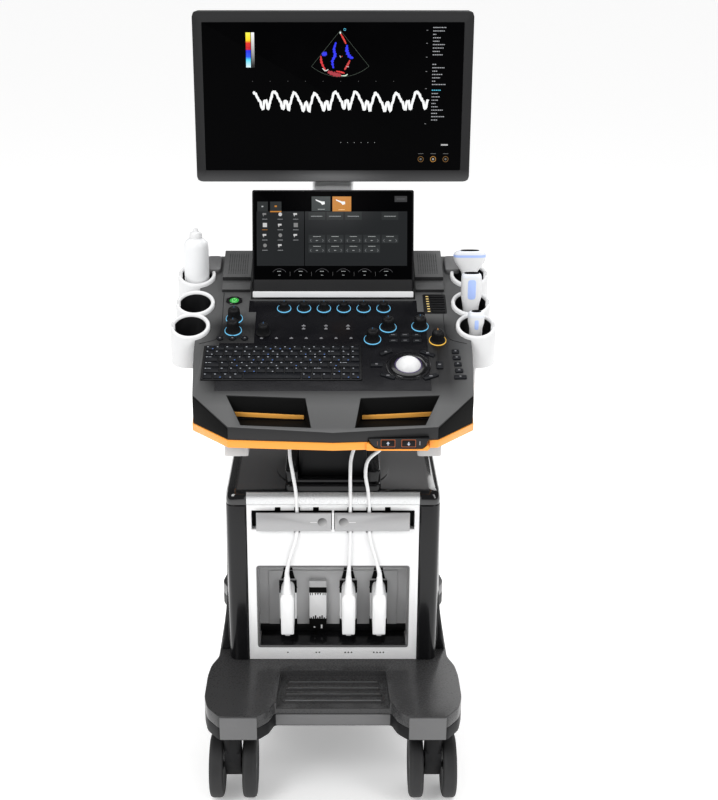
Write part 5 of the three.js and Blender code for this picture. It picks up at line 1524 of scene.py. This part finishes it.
for marksAt, width, tint in flow:
    knots = np.array([fanPoint(1.08 * a, d * 1.02) for a, d in marksAt])
    route = smoothRoute(np.hstack([knots, np.zeros((len(knots), 1))]), 8)[:, :2]
    wobble = 1 + 0.28 * np.sin(np.arange(len(route)) * 1.9) + 0.18 * rng.uniform(-1, 1, len(route))
    fade = np.sin(np.linspace(0.25, np.pi - 0.25, len(route))) ** 0.5
    shine(stroke(route, width * wobble * fade), tint)

# Wave trace: nearly nine beats, each a tall shoulder, a fall, a small step and a second dip.
beat = np.array([(0, 1.0), (0.14, 0.86), (0.25, 0.58), (0.36, 0.4), (0.4, 0.16), (0.45, 0.02), (0.49, 0.05),
                 (0.54, 0.46), (0.64, 0.5), (0.7, 0.06), (0.75, 0.0), (0.79, 0.3), (0.86, 0.52),
                 (0.93, 0.84), (1, 1)])
trace = {"x": -149, "long": 327, "low": 1283, "high": 33.5, "beats": 8.6}
t = np.linspace(0, trace["beats"], 520)
ripple = 0.03 * np.sin(t * 61) + 0.025 * np.sin(t * 143 + 1)
height = np.interp(t % 1, beat[:, 0], beat[:, 1]) + ripple + 0.06 * np.sin(t * 1.7)
line = np.stack([trace["x"] + trace["long"] * t / trace["beats"], trace["low"] + trace["high"] * height], 1)
shine(stroke(line, 3.9 + 0.9 * np.abs(np.sin(t * 37)) + rng.uniform(0, 0.7, len(t))), (0.95, 0.96, 0.96))

# Columns of short bars at the right, ticks, and small round marks along the foot.
grey, blueMark = (0.42, 0.43, 0.45), (0.1, 0.6, 0.8)
for top, count in ((1433.2, 9), (1367.1, 7), (1320.1, 10)):
    for k in range(count):
        z = top - 6.1 * k
        w = rng.uniform(5, 27)
        tint = blueMark if (top < 1330 and k == 0) else grey
        x = 184.1
        while w > 1:
            step = min(w, rng.uniform(1.4, 3.4))
            block(x, z - 0.9, x + step, z + 0.9, tint)
            x += step + 0.9
            w -= step + 0.9
for z in (1428.3, 1405.1, 1380.2, 1354.3, 1322.9, 1258.1):
    block(171.8, z - 0.6, 174.8, z + 0.6, (0.25, 0.25, 0.26))
for k in range(6):
    shine(slab(circle(14.6 + 12.8 * k, 1223, 0.8, 8), 0.4, 0.55), (0.35, 0.36, 0.36))
for k in range(9):
    block(-150.2 + 32.8 * k, 1335.8, -149 + 32.8 * k, 1337, (0.12, 0.12, 0.12))
for across in (166.2, 189.7, 213.3):
    bright = 0.7 if across == 189.7 else 0.3
    amberTint = (0.85 * bright, 0.42 * bright, 0.08 * bright)
    shine(rim(circle(across, 1191.6, 5.6, 24), circle(across, 1191.6, 4.5, 24), 0.3, 0.55, 0.1), amberTint)
    shine(slab(circle(across, 1191.6, 2.2, 12), 0.3, 0.55), (0.5 * bright,) * 3)
    block(across - 5, 1201.6, across + 5, 1202.3, (0.25, 0.25, 0.25))
block(203.8, 1217.1, 217.0, 1220.1, (0.5, 0.5, 0.5))
shine(rim(circle(21.7, 1429.7, 2.4, 12), circle(21.7, 1429.7, 1.5, 12), 0.3, 0.55, 0.1), blueMark)
piece("monitor_picture", picture, "light", "monitor", monitorFace, tints=pictureTints,
      crease=180)
print("monitor ready", len(picture))

# Rear and sides

louvre = {"half": 108, "low": 420.6, "pitch": 16, "thick": 2.2, "count": 6}
louvres = []
for i in range(louvre["count"]):
    z = louvre["low"] + louvre["pitch"] * i
    louvres.append(slab(oblong(-louvre["half"], z, louvre["half"], z + louvre["thick"], 1), -5, 0.6, 0.5))
piece("rear_louvres", louvres, "softBlack", "cabinet", rearFace)
inletFrame = rim(oblong(114, 253, 156, 287, 3), oblong(117.4, 256.4, 152.6, 283.6, 3), -2, 1.6, 0.6)
blades = [tile(x - 0.8, low, x + 0.8, low + 5, -20, -8) for x, low in ((135, 271), (127, 264), (143, 264))]
piece("inlet_frame", inletFrame, "softBlack", "cabinet", rearFace)
piece("inlet_blades", blades, "steel", "cabinet", rearFace)
screws = [slab(circle(x, z, 3.6, 20), -0.3, 1.2, 0.8) for z in (232, 542, 388) for x in (-168, 168)]
piece("rear_screws", screws, "steel", "cabinet", rearFace)
vent = {"front": 40, "rear": 240, "low": 470, "pitch": 9, "thick": 3.5, "count": 5}
for side, sign in sides.items():
    plane = ((sign * 210, 0, 0), (0, sign, 0), (0, 0, 1), (sign, 0, 0))
    y0, y1 = span(sign, vent["front"], vent["rear"])
    heights = [vent["low"] + vent["pitch"] * k for k in range(vent["count"])]
    vents = [slab(oblong(y0, z, y1, z + vent["thick"], 1.6), -0.3, 0.6, 0.3) for z in heights]
    piece(f"side_vents_{side}", vents, "softBlack", "cabinet", plane)
print("rear ready")
